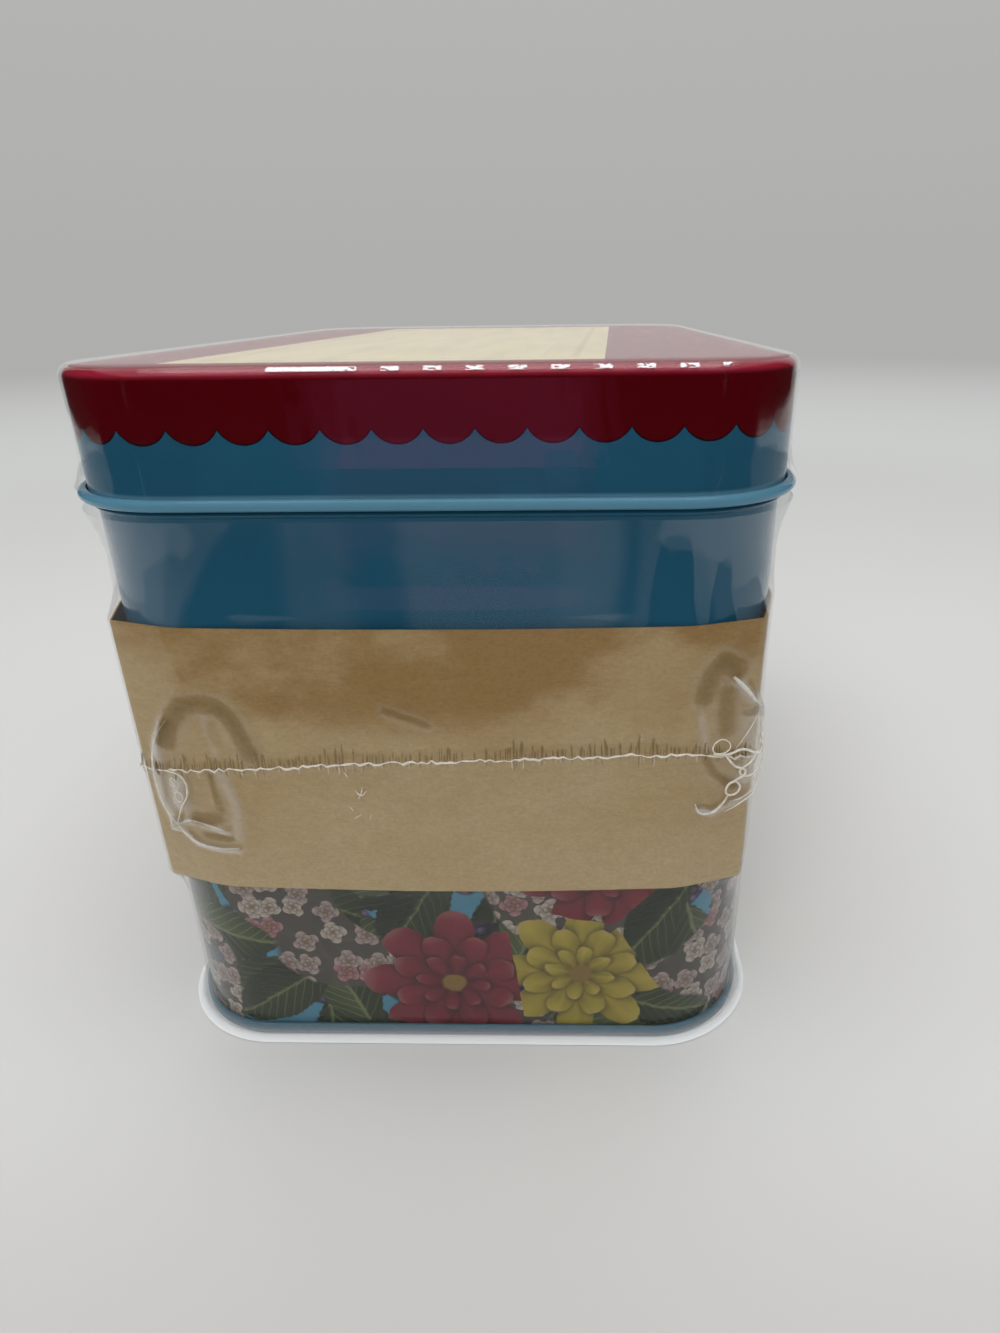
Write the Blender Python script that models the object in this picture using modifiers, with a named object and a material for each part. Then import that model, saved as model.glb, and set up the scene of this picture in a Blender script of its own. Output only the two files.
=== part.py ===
"""Recipe card box: a hinged printed tin with its cards, dividers, paper band and clear film.

The long side runs along X, the hinge is at the back (+Y) and the tin stands on Z = 0.
All lengths are in metres.
"""

import math

import bmesh
import bpy

# Cards: what the box is made to hold
CARD_LENGTH = 0.1524
CARD_HEIGHT = 0.1016
CARD_THICKNESS = 0.00045
CARD_CORNER = 0.003
CARD_LEAN = math.radians(4)
DIVIDER_THICKNESS = 0.0006
TAB_HEIGHT = 0.008
TAB_WIDTH = 0.024
TAB_SLANT = 0.002
TAB_CORNER = 0.0015
GROUPS = 6
FRONT_GROUPS = 3
CARDS_IN_GROUP = 4

# Clearances
GAP = 0.0003
CARD_SIDE_ROOM = 0.0057
HEAD_ROOM = 0.0048
LID_CLEARANCE = 0.0006
NOTCH_CLEARANCE = 0.0005
CURL_OPENING = 0.0002

# Tin body
SHEET = 0.00025
BODY_WIDTH = 0.1053
BODY_CORNER = 0.0172
BEAD_DEPTH = 0.0007
BEAD_HALF_HEIGHT = 0.0007
BEAD_DROP = 0.0016
NECK_HEIGHT = 0.0095
HEM_RADIUS = 0.0005

# Seamed bottom
RIM_HEIGHT = 0.0025
RIM_THICKNESS = 0.00075
RIM_ROUND = 0.0002
PANEL_LIFT = 0.003
PANEL_INSET = 0.009

# Lid
SKIRT_HEIGHT = 0.0176
LID_EDGE_RADIUS = 0.0015
LID_PANEL_INSET = 0.009
CURL_RADIUS = 0.000775

# Hinge
WIRE_RADIUS = 0.0004
EAR_WIDTH = 0.008
EAR_SPACING = 0.09
EAR_DROP = 0.009
WIRE_TAIL = 0.008
NOTCH_HEIGHT = 0.0015

# Paper band
PAPER = 0.00025
BAND_DROP = 0.0184
BAND_HEIGHT = 0.0476
BAND_CREASE = 0.0022

# Clear film
FILM = 0.0002
FILM_FOOT = 0.0004
FILM_TOP_DROP = 0.0022
FILM_TOP_OFFSET = 0.0021
FILM_SOFT_CREASE = 0.0003
FILM_BAND_MARGIN = 0.001
FILM_WAIST_DROP = 0.006
FILM_LID_LIFT = 0.0011
FILM_LID_FLARE = 0.0026
FILM_LID_WAIST = 0.0055

# Facets
CORNER_STEPS = 4
ROUND_STEPS = 3
CURL_STEPS = 8
WIRE_SIDES = 10
CARD_CORNER_STEPS = 2

# Worked out from the sizes above
BODY_LENGTH = CARD_LENGTH + 2 * (CARD_SIDE_ROOM + SHEET)
HALF_LENGTH = BODY_LENGTH / 2
HALF_WIDTH = BODY_WIDTH / 2
INNER_HALF_WIDTH = HALF_WIDTH - SHEET
FLOOR = PANEL_LIFT
LID_TOP = FLOOR + GAP + CARD_HEIGHT + TAB_HEIGHT + HEAD_ROOM + SHEET
CURL_HEIGHT = LID_TOP - SKIRT_HEIGHT
NECK_TOP = CURL_HEIGHT + NECK_HEIGHT
SKIRT_OFFSET = LID_CLEARANCE + SHEET / 2
CURL_OFFSET = SKIRT_OFFSET + CURL_RADIUS
HINGE_Y = HALF_WIDTH + CURL_OFFSET
BEAD_HEIGHT = CURL_HEIGHT - BEAD_DROP
BAND_TOP = CURL_HEIGHT - BAND_DROP
BAND_FOOT = BAND_TOP - BAND_HEIGHT


def clear_scene():
    for thing in list(bpy.data.objects):
        bpy.data.objects.remove(thing)


def new_collection(name):
    collection = bpy.data.collections.new(name)
    bpy.context.scene.collection.children.link(collection)
    return collection


def new_material(name, colour, roughness, metallic=0.0, alpha=1.0):
    material = bpy.data.materials.new(name)
    material.use_nodes = True
    shader = material.node_tree.nodes["Principled BSDF"]
    shader.inputs["Base Color"].default_value = (*colour, 1.0)
    shader.inputs["Roughness"].default_value = roughness
    shader.inputs["Metallic"].default_value = metallic
    shader.inputs["Alpha"].default_value = alpha
    material.diffuse_color = (*colour, alpha)
    return material


def blue_tin():
    return new_material("blue_printed_tin", (0.18, 0.42, 0.58), 0.35)


def red_tin():
    return new_material("red_printed_tin", (0.42, 0.03, 0.06), 0.35)


def bare_steel():
    return new_material("bare_steel", (0.55, 0.55, 0.56), 0.3, metallic=1.0)


def tan_paper():
    return new_material("tan_paper", (0.45, 0.33, 0.18), 0.85)


def card_stock():
    return new_material("card_stock", (0.86, 0.82, 0.70), 0.8)


def divider_stock():
    return new_material("divider_stock", (0.55, 0.70, 0.78), 0.7)


def clear_film():
    return new_material("clear_film", (0.95, 0.96, 0.97), 0.08, alpha=0.12)


def new_object(name, mesh, material, collection, parent=None):
    mesh.materials.append(material)
    thing = bpy.data.objects.new(name, mesh)
    collection.objects.link(thing)
    if parent is not None:
        thing.parent = parent
    return thing


def mesh_from(bm, name):
    bmesh.ops.recalc_face_normals(bm, faces=bm.faces)
    mesh = bpy.data.meshes.new(name)
    bm.to_mesh(mesh)
    bm.free()
    return mesh


def smooth_by_angle(mesh, angle=math.radians(35)):
    mesh.shade_smooth()
    mesh.set_sharp_from_angle(angle=angle)


def pivot(name, place):
    empty = bpy.data.objects.new(name, None)
    bpy.context.scene.collection.objects.link(empty)
    empty.location = place
    return empty


def hang_on(thing, empty):
    """Parents a piece that is modelled in world space, and leaves it in place."""
    thing.parent = empty
    thing.location = [-value for value in empty.location]


def corner_turns(radius, crease):
    """(angle, distance from the corner's centre) round one corner of the outline.

    A crease stands out from the arc at 45 degrees, and the sheet leaves the arc as a
    straight line on each side of it.
    """
    half = math.pi / 4
    leave = max(math.acos(radius / (radius + crease)), half / (CORNER_STEPS + 1))
    hugging = [(half - leave) * step / CORNER_STEPS for step in range(CORNER_STEPS + 1)]
    turns = [(angle, radius) for angle in hugging]
    turns.append((half, radius + crease))
    turns.extend((2 * half - angle, radius) for angle in reversed(hugging))
    return turns


def outline(offset, height, crease=0.0):
    """The tin's rounded outline as a ring of points, moved outwards by an offset."""
    radius = BODY_CORNER + offset
    points = []
    for quarter in range(4):
        side_x = (1, -1, -1, 1)[quarter]
        side_y = (1, 1, -1, -1)[quarter]
        centre_x = side_x * (HALF_LENGTH - BODY_CORNER)
        centre_y = side_y * (HALF_WIDTH - BODY_CORNER)
        for angle, reach in corner_turns(radius, crease):
            turn = angle + quarter * math.pi / 2
            points.append((centre_x + reach * math.cos(turn), centre_y + reach * math.sin(turn), height))
    return points


def next_ring(bm, ring, places):
    """Extrudes a ring of edges once and sets the new ring on the places."""
    edges = [bm.edges.get(pair) for pair in zip(ring, ring[1:] + ring[:1])]
    made = bmesh.ops.extrude_edge_only(bm, edges=edges)["geom"]
    fresh = {item for item in made if isinstance(item, bmesh.types.BMVert)}
    grown = []
    for vert in ring:
        partners = [edge.other_vert(vert) for edge in vert.link_edges]
        grown.append(next(partner for partner in partners if partner in fresh))
    for vert, place in zip(grown, places):
        vert.co = place
    return grown


def swept_mesh(name, profile, first_capped=False, last_capped=False):
    """Sweeps a profile of (offset, height) or (offset, height, crease) round the tin."""
    bm = bmesh.new()
    ring = [bm.verts.new(place) for place in outline(*profile[0])]
    for pair in zip(ring, ring[1:] + ring[:1]):
        bm.edges.new(pair)
    if first_capped:
        bm.faces.new(ring)
    for step in profile[1:]:
        ring = next_ring(bm, ring, outline(*step))
    if last_capped:
        bm.faces.new(ring)
    mesh = mesh_from(bm, name)
    smooth_by_angle(mesh)
    return mesh


def thicken(thing, thickness):
    """Gives an open surface its sheet, half on each side."""
    solidify = thing.modifiers.new("sheet", "SOLIDIFY")
    solidify.thickness = thickness
    solidify.offset = 0.0
    solidify.use_even_offset = True


def arc(centre_offset, centre_height, radius, start, end, steps):
    """(offset, height) along an arc, in degrees, both ends included."""
    points = []
    for step in range(steps + 1):
        angle = math.radians(start + (end - start) * step / steps)
        points.append((centre_offset + radius * math.cos(angle), centre_height + radius * math.sin(angle)))
    return points


def body_profile():
    """The wall from its foot in the seam, over the stop bead, to the rolled-in top edge."""
    wall = -SHEET / 2
    crest = BEAD_DEPTH - SHEET / 2
    shoulder = BEAD_HALF_HEIGHT / 2
    return [
        (wall, RIM_ROUND + 2 * GAP),
        (wall, BEAD_HEIGHT - BEAD_HALF_HEIGHT),
        (crest, BEAD_HEIGHT - shoulder),
        (crest, BEAD_HEIGHT + shoulder),
        (wall, BEAD_HEIGHT + BEAD_HALF_HEIGHT),
        *arc(wall - HEM_RADIUS, NECK_TOP - HEM_RADIUS, HEM_RADIUS, 0, 240, 6),
    ]


def add_body_wall(collection):
    wall = new_object("body_wall", swept_mesh("body_wall", body_profile()), blue_tin(), collection)
    thicken(wall, SHEET)


def bottom_profile():
    """A flat panel, the channel that holds the wall's foot, and the rolled seam round it."""
    channel_in = -SHEET - GAP
    seam_out = GAP + RIM_THICKNESS
    under_in = channel_in - SHEET
    return [
        (-PANEL_INSET, FLOOR),
        (channel_in, FLOOR),
        (channel_in, GAP),
        (GAP, GAP),
        (GAP, RIM_HEIGHT - RIM_ROUND),
        (GAP + RIM_ROUND, RIM_HEIGHT),
        (seam_out - RIM_ROUND, RIM_HEIGHT),
        (seam_out, RIM_HEIGHT - RIM_ROUND),
        (seam_out, RIM_ROUND),
        (seam_out - RIM_ROUND, 0.0),
        (under_in + RIM_ROUND, 0.0),
        (under_in, RIM_ROUND),
        (under_in, FLOOR - SHEET),
        (-PANEL_INSET, FLOOR - SHEET),
    ]


def add_bottom_end(collection):
    mesh = swept_mesh("bottom_end", bottom_profile(), first_capped=True, last_capped=True)
    new_object("bottom_end", mesh, blue_tin(), collection)


def lid_profile():
    """From the top panel over the rounded edge and down the skirt into the outward curl."""
    edge_mid = LID_EDGE_RADIUS - SHEET / 2
    edge_offset = SKIRT_OFFSET - edge_mid
    edge_height = LID_TOP - LID_EDGE_RADIUS
    end_cosine = (CURL_OPENING + SHEET - CURL_RADIUS) / CURL_RADIUS
    end_angle = 360 + math.degrees(math.acos(end_cosine))
    return [
        (-LID_PANEL_INSET, LID_TOP - SHEET / 2),
        *arc(edge_offset, edge_height, edge_mid, 90, 0, ROUND_STEPS),
        *arc(CURL_OFFSET, CURL_HEIGHT, CURL_RADIUS, 180, end_angle, CURL_STEPS),
    ]


def ear_places():
    return (-EAR_SPACING / 2, EAR_SPACING / 2)


def add_notch(lid, side, place_x, cutters):
    """Cuts the lid's curl away where one of the body's ears holds the wire."""
    curl_out = CURL_RADIUS + SHEET
    low = CURL_HEIGHT - curl_out - GAP
    high = CURL_HEIGHT + NOTCH_HEIGHT
    bm = bmesh.new()
    bmesh.ops.create_cube(bm, size=1.0)
    size = (EAR_WIDTH + 2 * NOTCH_CLEARANCE, 2 * (curl_out + SHEET), high - low)
    bmesh.ops.scale(bm, vec=size, verts=bm.verts)
    notch = new_object(f"notch_{side}", mesh_from(bm, f"notch_{side}"), bare_steel(), cutters)
    notch.location = (place_x, HINGE_Y, (low + high) / 2)
    notch.hide_render = True
    notch.display_type = "WIRE"
    cut = lid.modifiers.new(f"notch_{side}", "BOOLEAN")
    cut.operation = "DIFFERENCE"
    cut.solver = "EXACT"
    cut.object = notch


def add_lid(collection, cutters, hinge):
    lid = new_object("lid_shell", swept_mesh("lid_shell", lid_profile(), first_capped=True), red_tin(), collection)
    hang_on(lid, hinge)
    thicken(lid, SHEET)
    for side, place_x in zip(("left", "right"), ear_places()):
        add_notch(lid, side, place_x, cutters)


def ear_profile():
    """The strap up the wall, out past the stop bead, and the loop round the wire."""
    flat = GAP + SHEET / 2
    outer = BEAD_DEPTH + GAP + SHEET / 2
    start = math.degrees(math.acos((outer - CURL_OFFSET) / CURL_RADIUS))
    bend = BEAD_HEIGHT - 2 * BEAD_HALF_HEIGHT
    return [
        (flat, CURL_HEIGHT - EAR_DROP),
        (flat, bend - BEAD_HALF_HEIGHT),
        (outer, bend),
        *arc(CURL_OFFSET, CURL_HEIGHT, CURL_RADIUS, 360 - start, -75, CURL_STEPS),
    ]


def add_ear(side, place_x, steel, collection):
    bm = bmesh.new()
    verts = []
    for offset, height in ear_profile():
        verts.append(bm.verts.new((place_x - EAR_WIDTH / 2, HALF_WIDTH + offset, height)))
    edges = [bm.edges.new(pair) for pair in zip(verts, verts[1:])]
    made = bmesh.ops.extrude_edge_only(bm, edges=edges)["geom"]
    fresh = [item for item in made if isinstance(item, bmesh.types.BMVert)]
    bmesh.ops.translate(bm, vec=(EAR_WIDTH, 0.0, 0.0), verts=fresh)
    name = f"hinge_ear_{side}"
    mesh = mesh_from(bm, name)
    smooth_by_angle(mesh)
    thicken(new_object(name, mesh, steel, collection), SHEET)


def add_hinge_wire(steel, collection):
    """The wire lies in the lid's rear curl and is held by both ears."""
    length = EAR_SPACING + EAR_WIDTH + 2 * WIRE_TAIL
    bm = bmesh.new()
    bmesh.ops.create_cone(
        bm, cap_ends=True, segments=WIRE_SIDES, radius1=WIRE_RADIUS, radius2=WIRE_RADIUS, depth=length
    )
    mesh = mesh_from(bm, "hinge_wire")
    smooth_by_angle(mesh)
    wire = new_object("hinge_wire", mesh, steel, collection)
    wire.location = (0.0, HINGE_Y, CURL_HEIGHT)
    wire.rotation_euler = (0.0, math.pi / 2, 0.0)


def add_hinge(collection):
    steel = bare_steel()
    for side, place_x in zip(("left", "right"), ear_places()):
        add_ear(side, place_x, steel, collection)
    add_hinge_wire(steel, collection)


def add_paper_band(collection):
    middle = GAP + PAPER / 2
    profile = [(middle, BAND_FOOT, BAND_CREASE), (middle, BAND_TOP, BAND_CREASE)]
    band = new_object("paper_band", swept_mesh("paper_band", profile), tan_paper(), collection)
    thicken(band, PAPER)


def add_body_film(film, collection):
    """Stretched from under the lid's curl, over the band, to the foot of the rim."""
    over_band = 2 * GAP + PAPER + FILM / 2
    over_rim = 2 * GAP + RIM_THICKNESS + FILM / 2
    profile = [
        (over_rim, FILM_FOOT, 0.0),
        (over_rim, RIM_HEIGHT, 0.0),
        (over_band, BAND_FOOT - FILM_BAND_MARGIN, BAND_CREASE),
        (over_band, BAND_TOP + FILM_BAND_MARGIN, BAND_CREASE),
        (over_band, CURL_HEIGHT - FILM_WAIST_DROP, FILM_SOFT_CREASE),
        (FILM_TOP_OFFSET, CURL_HEIGHT - FILM_TOP_DROP, FILM_SOFT_CREASE),
    ]
    thicken(new_object("film_body", swept_mesh("film_body", profile), film, collection), FILM)


def add_lid_film(film, collection, hinge):
    """Lies on the lid's top, hugs its skirt and flares out to the top of the curl."""
    rise = GAP + FILM / 2
    edge_offset = SKIRT_OFFSET + SHEET / 2 - LID_EDGE_RADIUS
    edge_height = LID_TOP - LID_EDGE_RADIUS
    profile = [
        (-LID_PANEL_INSET, LID_TOP + rise),
        *arc(edge_offset, edge_height, LID_EDGE_RADIUS + rise, 90, 0, ROUND_STEPS),
        (edge_offset + LID_EDGE_RADIUS + rise, CURL_HEIGHT + FILM_LID_WAIST),
        (FILM_LID_FLARE, CURL_HEIGHT + FILM_LID_LIFT),
    ]
    lid_film = new_object("film_lid", swept_mesh("film_lid", profile, first_capped=True), film, collection)
    hang_on(lid_film, hinge)
    thicken(lid_film, FILM)


def plate_mesh(name, points, thickness, corner):
    """A card standing on Z = 0 with its back face on Y = 0, from points (x, z)."""
    bm = bmesh.new()
    face = bm.faces.new([bm.verts.new((x, 0.0, z)) for x, z in points])
    made = bmesh.ops.extrude_face_region(bm, geom=[face])["geom"]
    fresh = [item for item in made if isinstance(item, bmesh.types.BMVert)]
    bmesh.ops.translate(bm, vec=(0.0, -thickness, 0.0), verts=fresh)
    through = [edge for edge in bm.edges if abs(edge.verts[0].co.y - edge.verts[1].co.y) > thickness / 2]
    bmesh.ops.bevel(bm, geom=through, offset=corner, segments=CARD_CORNER_STEPS, affect="EDGES", profile=0.5)
    return mesh_from(bm, name)


def card_points():
    half = CARD_LENGTH / 2
    return [(-half, 0.0), (half, 0.0), (half, CARD_HEIGHT), (-half, CARD_HEIGHT)]


def divider_points(group):
    """The card's outline with a tab, a step further along for each group."""
    half = CARD_LENGTH / 2
    first = -half + CARD_CORNER + TAB_WIDTH / 2 + TAB_SLANT
    middle = first + group * -2 * first / (GROUPS - 1)
    foot = TAB_WIDTH / 2
    head = foot - TAB_SLANT
    top = CARD_HEIGHT + TAB_HEIGHT
    return [
        (-half, 0.0),
        (half, 0.0),
        (half, CARD_HEIGHT),
        (middle + foot, CARD_HEIGHT),
        (middle + head, top),
        (middle - head, top),
        (middle - foot, CARD_HEIGHT),
        (-half, CARD_HEIGHT),
    ]


def rear_foot():
    """Where the rearmost card stands, so that its top edge meets the wall's rounded corners."""
    inner_radius = BODY_CORNER - SHEET
    past_corner = max(CARD_LENGTH / 2 - (HALF_LENGTH - BODY_CORNER), 0.0)
    sag = inner_radius - math.sqrt(inner_radius**2 - past_corner**2)
    return INNER_HALF_WIDTH - sag - GAP - CARD_HEIGHT * math.sin(CARD_LEAN)


def stack_order():
    """(name, group, thickness) from the rear card forwards; each divider stands in front of its cards."""
    order = []
    for group in reversed(range(GROUPS)):
        for number in reversed(range(CARDS_IN_GROUP)):
            order.append((f"recipe_card_{group * CARDS_IN_GROUP + number + 1:02d}", group, CARD_THICKNESS))
        order.append((f"divider_{group + 1}", group, DIVIDER_THICKNESS))
    return order


def stack_pitch(thickness):
    return (thickness + GAP) / math.cos(CARD_LEAN)


def front_foot():
    """The front edge of the foremost divider, where the front cards tilt."""
    depth = sum(stack_pitch(thickness) for _, _, thickness in stack_order())
    return rear_foot() - depth + GAP


def add_card(name, group, thickness, place_y, collection, stocks, tilt):
    is_divider = name.startswith("divider")
    points = divider_points(group) if is_divider else card_points()
    corner = TAB_CORNER if is_divider else CARD_CORNER
    card = new_object(name, plate_mesh(name, points, thickness, corner), stocks[is_divider], collection)
    card.rotation_euler = (-CARD_LEAN, 0.0, 0.0)
    place = (0.0, place_y, FLOOR + GAP)
    if group < FRONT_GROUPS:
        card.parent = tilt
        place = [value - axis for value, axis in zip(place, tilt.location)]
    card.location = place


def add_cards(collection, tilt):
    stocks = (card_stock(), divider_stock())
    place_y = rear_foot()
    for name, group, thickness in stack_order():
        add_card(name, group, thickness, place_y, collection, stocks, tilt)
        place_y -= stack_pitch(thickness)


def build():
    clear_scene()
    tin = new_collection("recipe_card_box")
    cutters = new_collection("cutters")
    hinge = pivot("lid_hinge_axis", (0.0, HINGE_Y, CURL_HEIGHT))
    tilt = pivot("front_cards_axis", (0.0, front_foot(), FLOOR + GAP))
    film = clear_film()
    add_body_wall(tin)
    add_bottom_end(tin)
    add_lid(tin, cutters, hinge)
    add_hinge(tin)
    add_paper_band(tin)
    add_body_film(film, tin)
    add_lid_film(film, tin, hinge)
    add_cards(tin, tilt)


build()
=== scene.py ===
"""The looks of the recipe card box.

A hinged printed tin in its clear shrink film and paper belly band, with the
recipe cards and tabbed dividers inside. All lengths are in metres. The box's
end faces +X, its hinge is at +Y and it stands on Z = 0.
"""

import logging
import math
from dataclasses import dataclass
from enum import Enum
from typing import Callable, Optional, Sequence, Union

import bmesh
import bpy
import numpy as np
from mathutils import Matrix, Vector


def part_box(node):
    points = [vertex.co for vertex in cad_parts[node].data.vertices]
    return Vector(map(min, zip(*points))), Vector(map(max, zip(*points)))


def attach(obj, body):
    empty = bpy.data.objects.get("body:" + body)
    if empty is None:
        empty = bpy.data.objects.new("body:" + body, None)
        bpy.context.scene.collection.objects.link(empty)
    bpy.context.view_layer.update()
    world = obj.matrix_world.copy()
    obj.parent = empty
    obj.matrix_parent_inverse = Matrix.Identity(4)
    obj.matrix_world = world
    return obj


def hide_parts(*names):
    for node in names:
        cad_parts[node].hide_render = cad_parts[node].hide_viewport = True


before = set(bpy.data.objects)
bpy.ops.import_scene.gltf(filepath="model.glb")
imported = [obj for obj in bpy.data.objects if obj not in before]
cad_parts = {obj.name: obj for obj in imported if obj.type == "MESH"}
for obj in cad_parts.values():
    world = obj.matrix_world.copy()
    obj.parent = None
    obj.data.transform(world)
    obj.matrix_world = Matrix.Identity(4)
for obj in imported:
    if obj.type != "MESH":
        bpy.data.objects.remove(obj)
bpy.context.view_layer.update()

LOG = logging.getLogger("recipe_card_box")
MM = 0.001
SAME = 1e-5
FULL_TURN = 2 * math.pi

Colour = tuple[float, float, float]
Place = tuple[float, float, float]
Step = tuple[float, float]
Stops = tuple[tuple[float, Colour], ...]
Warp = Callable[[np.ndarray, np.ndarray], np.ndarray]

BLACK: Colour = (0.0, 0.0, 0.0)
DARK: Colour = (0.012, 0.012, 0.013)
PINK_GLOW: Colour = (0.32, 0.07, 0.16)
PALE_GLOW: Colour = (0.62, 0.62, 0.61)
FLAT: Place = (0.0, 0.0, 0.0)
FACING_X: Place = (0.0, math.pi / 2, 0.0)
FACING_Y: Place = (math.pi / 2, 0.0, 0.0)


class Body(Enum):
    """The bodies that the pieces ride on."""

    TIN = "tin"
    LID = "lid"


class Slot(Enum):
    """The record's finishes."""

    BODY_TIN = "body_tin"
    LID_TIN = "lid_tin"
    BAND_PAPER = "band_paper"
    FILM = "film"


class Field:
    """A number that varies over a surface, with the arithmetic that patterns are written in."""

    def __init__(self, tree: bpy.types.NodeTree, socket: bpy.types.NodeSocket) -> None:
        """Keeps the node tree and the socket that gives the number."""
        self.tree = tree
        self.socket = socket

    def _maths(self, operation: str, *terms: "Term") -> "Field":
        """Joins terms by one arithmetic node.

        Args:
            operation: the node's operation.
            terms: fields and plain numbers, in the node's order.

        Returns:
            The result.
        """
        node = self.tree.nodes.new("ShaderNodeMath")
        node.operation = operation
        for socket, term in zip(node.inputs, terms):
            if isinstance(term, Field):
                self.tree.links.new(term.socket, socket)
            else:
                socket.default_value = term
        return Field(self.tree, node.outputs[0])

    def __add__(self, other: "Term") -> "Field":
        """The sum."""
        return self._maths("ADD", self, other)

    def __radd__(self, other: float) -> "Field":
        """The sum, with a plain number first."""
        return self._maths("ADD", other, self)

    def __sub__(self, other: "Term") -> "Field":
        """The difference."""
        return self._maths("SUBTRACT", self, other)

    def __rsub__(self, other: float) -> "Field":
        """The difference, with a plain number first."""
        return self._maths("SUBTRACT", other, self)

    def __mul__(self, other: "Term") -> "Field":
        """The product."""
        return self._maths("MULTIPLY", self, other)

    def __rmul__(self, other: float) -> "Field":
        """The product, with a plain number first."""
        return self._maths("MULTIPLY", other, self)

    def __truediv__(self, other: "Term") -> "Field":
        """The quotient."""
        return self._maths("DIVIDE", self, other)

    def __abs__(self) -> "Field":
        """The size without its sign."""
        return self._maths("ABSOLUTE", self)

    def power(self, exponent: float) -> "Field":
        """The field raised to a power."""
        return self._maths("POWER", self, exponent)

    def fraction(self) -> "Field":
        """What is left past the whole number."""
        return self._maths("FRACT", self)

    def sine(self) -> "Field":
        """The sine of an angle."""
        return self._maths("SINE", self)

    def cosine(self) -> "Field":
        """The cosine of an angle."""
        return self._maths("COSINE", self)

    def angle_to(self, other: "Field") -> "Field":
        """The angle of the point (other, self)."""
        return self._maths("ARCTAN2", self, other)

    def least(self, other: "Term") -> "Field":
        """The smaller of two."""
        return self._maths("MINIMUM", self, other)

    def most(self, other: "Term") -> "Field":
        """The larger of two."""
        return self._maths("MAXIMUM", self, other)

    def ease(self, low: float, high: float) -> "Field":
        """Rises smoothly from 0 at low to 1 at high, and stays there.

        Args:
            low: where the rise begins.
            high: where it ends.

        Returns:
            The eased number.
        """
        node = self.tree.nodes.new("ShaderNodeMapRange")
        node.interpolation_type = "SMOOTHSTEP"
        self.tree.links.new(self.socket, node.inputs["Value"])
        node.inputs["From Min"].default_value = low
        node.inputs["From Max"].default_value = high
        return Field(self.tree, node.outputs["Result"])


Term = Union[Field, float]
Tint = Union[Colour, bpy.types.NodeSocket]


def distance(across: Field, up: Field) -> Field:
    """The distance from the point where both fields are zero."""
    return (across * across + up * up).power(0.5)


@dataclass(frozen=True)
class Cell:
    """The nearest of a pattern's scattered points: where it lies, and its own chances."""

    across: Field
    up: Field
    apart: Field
    chances: tuple[Field, Field, Field]


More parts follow.
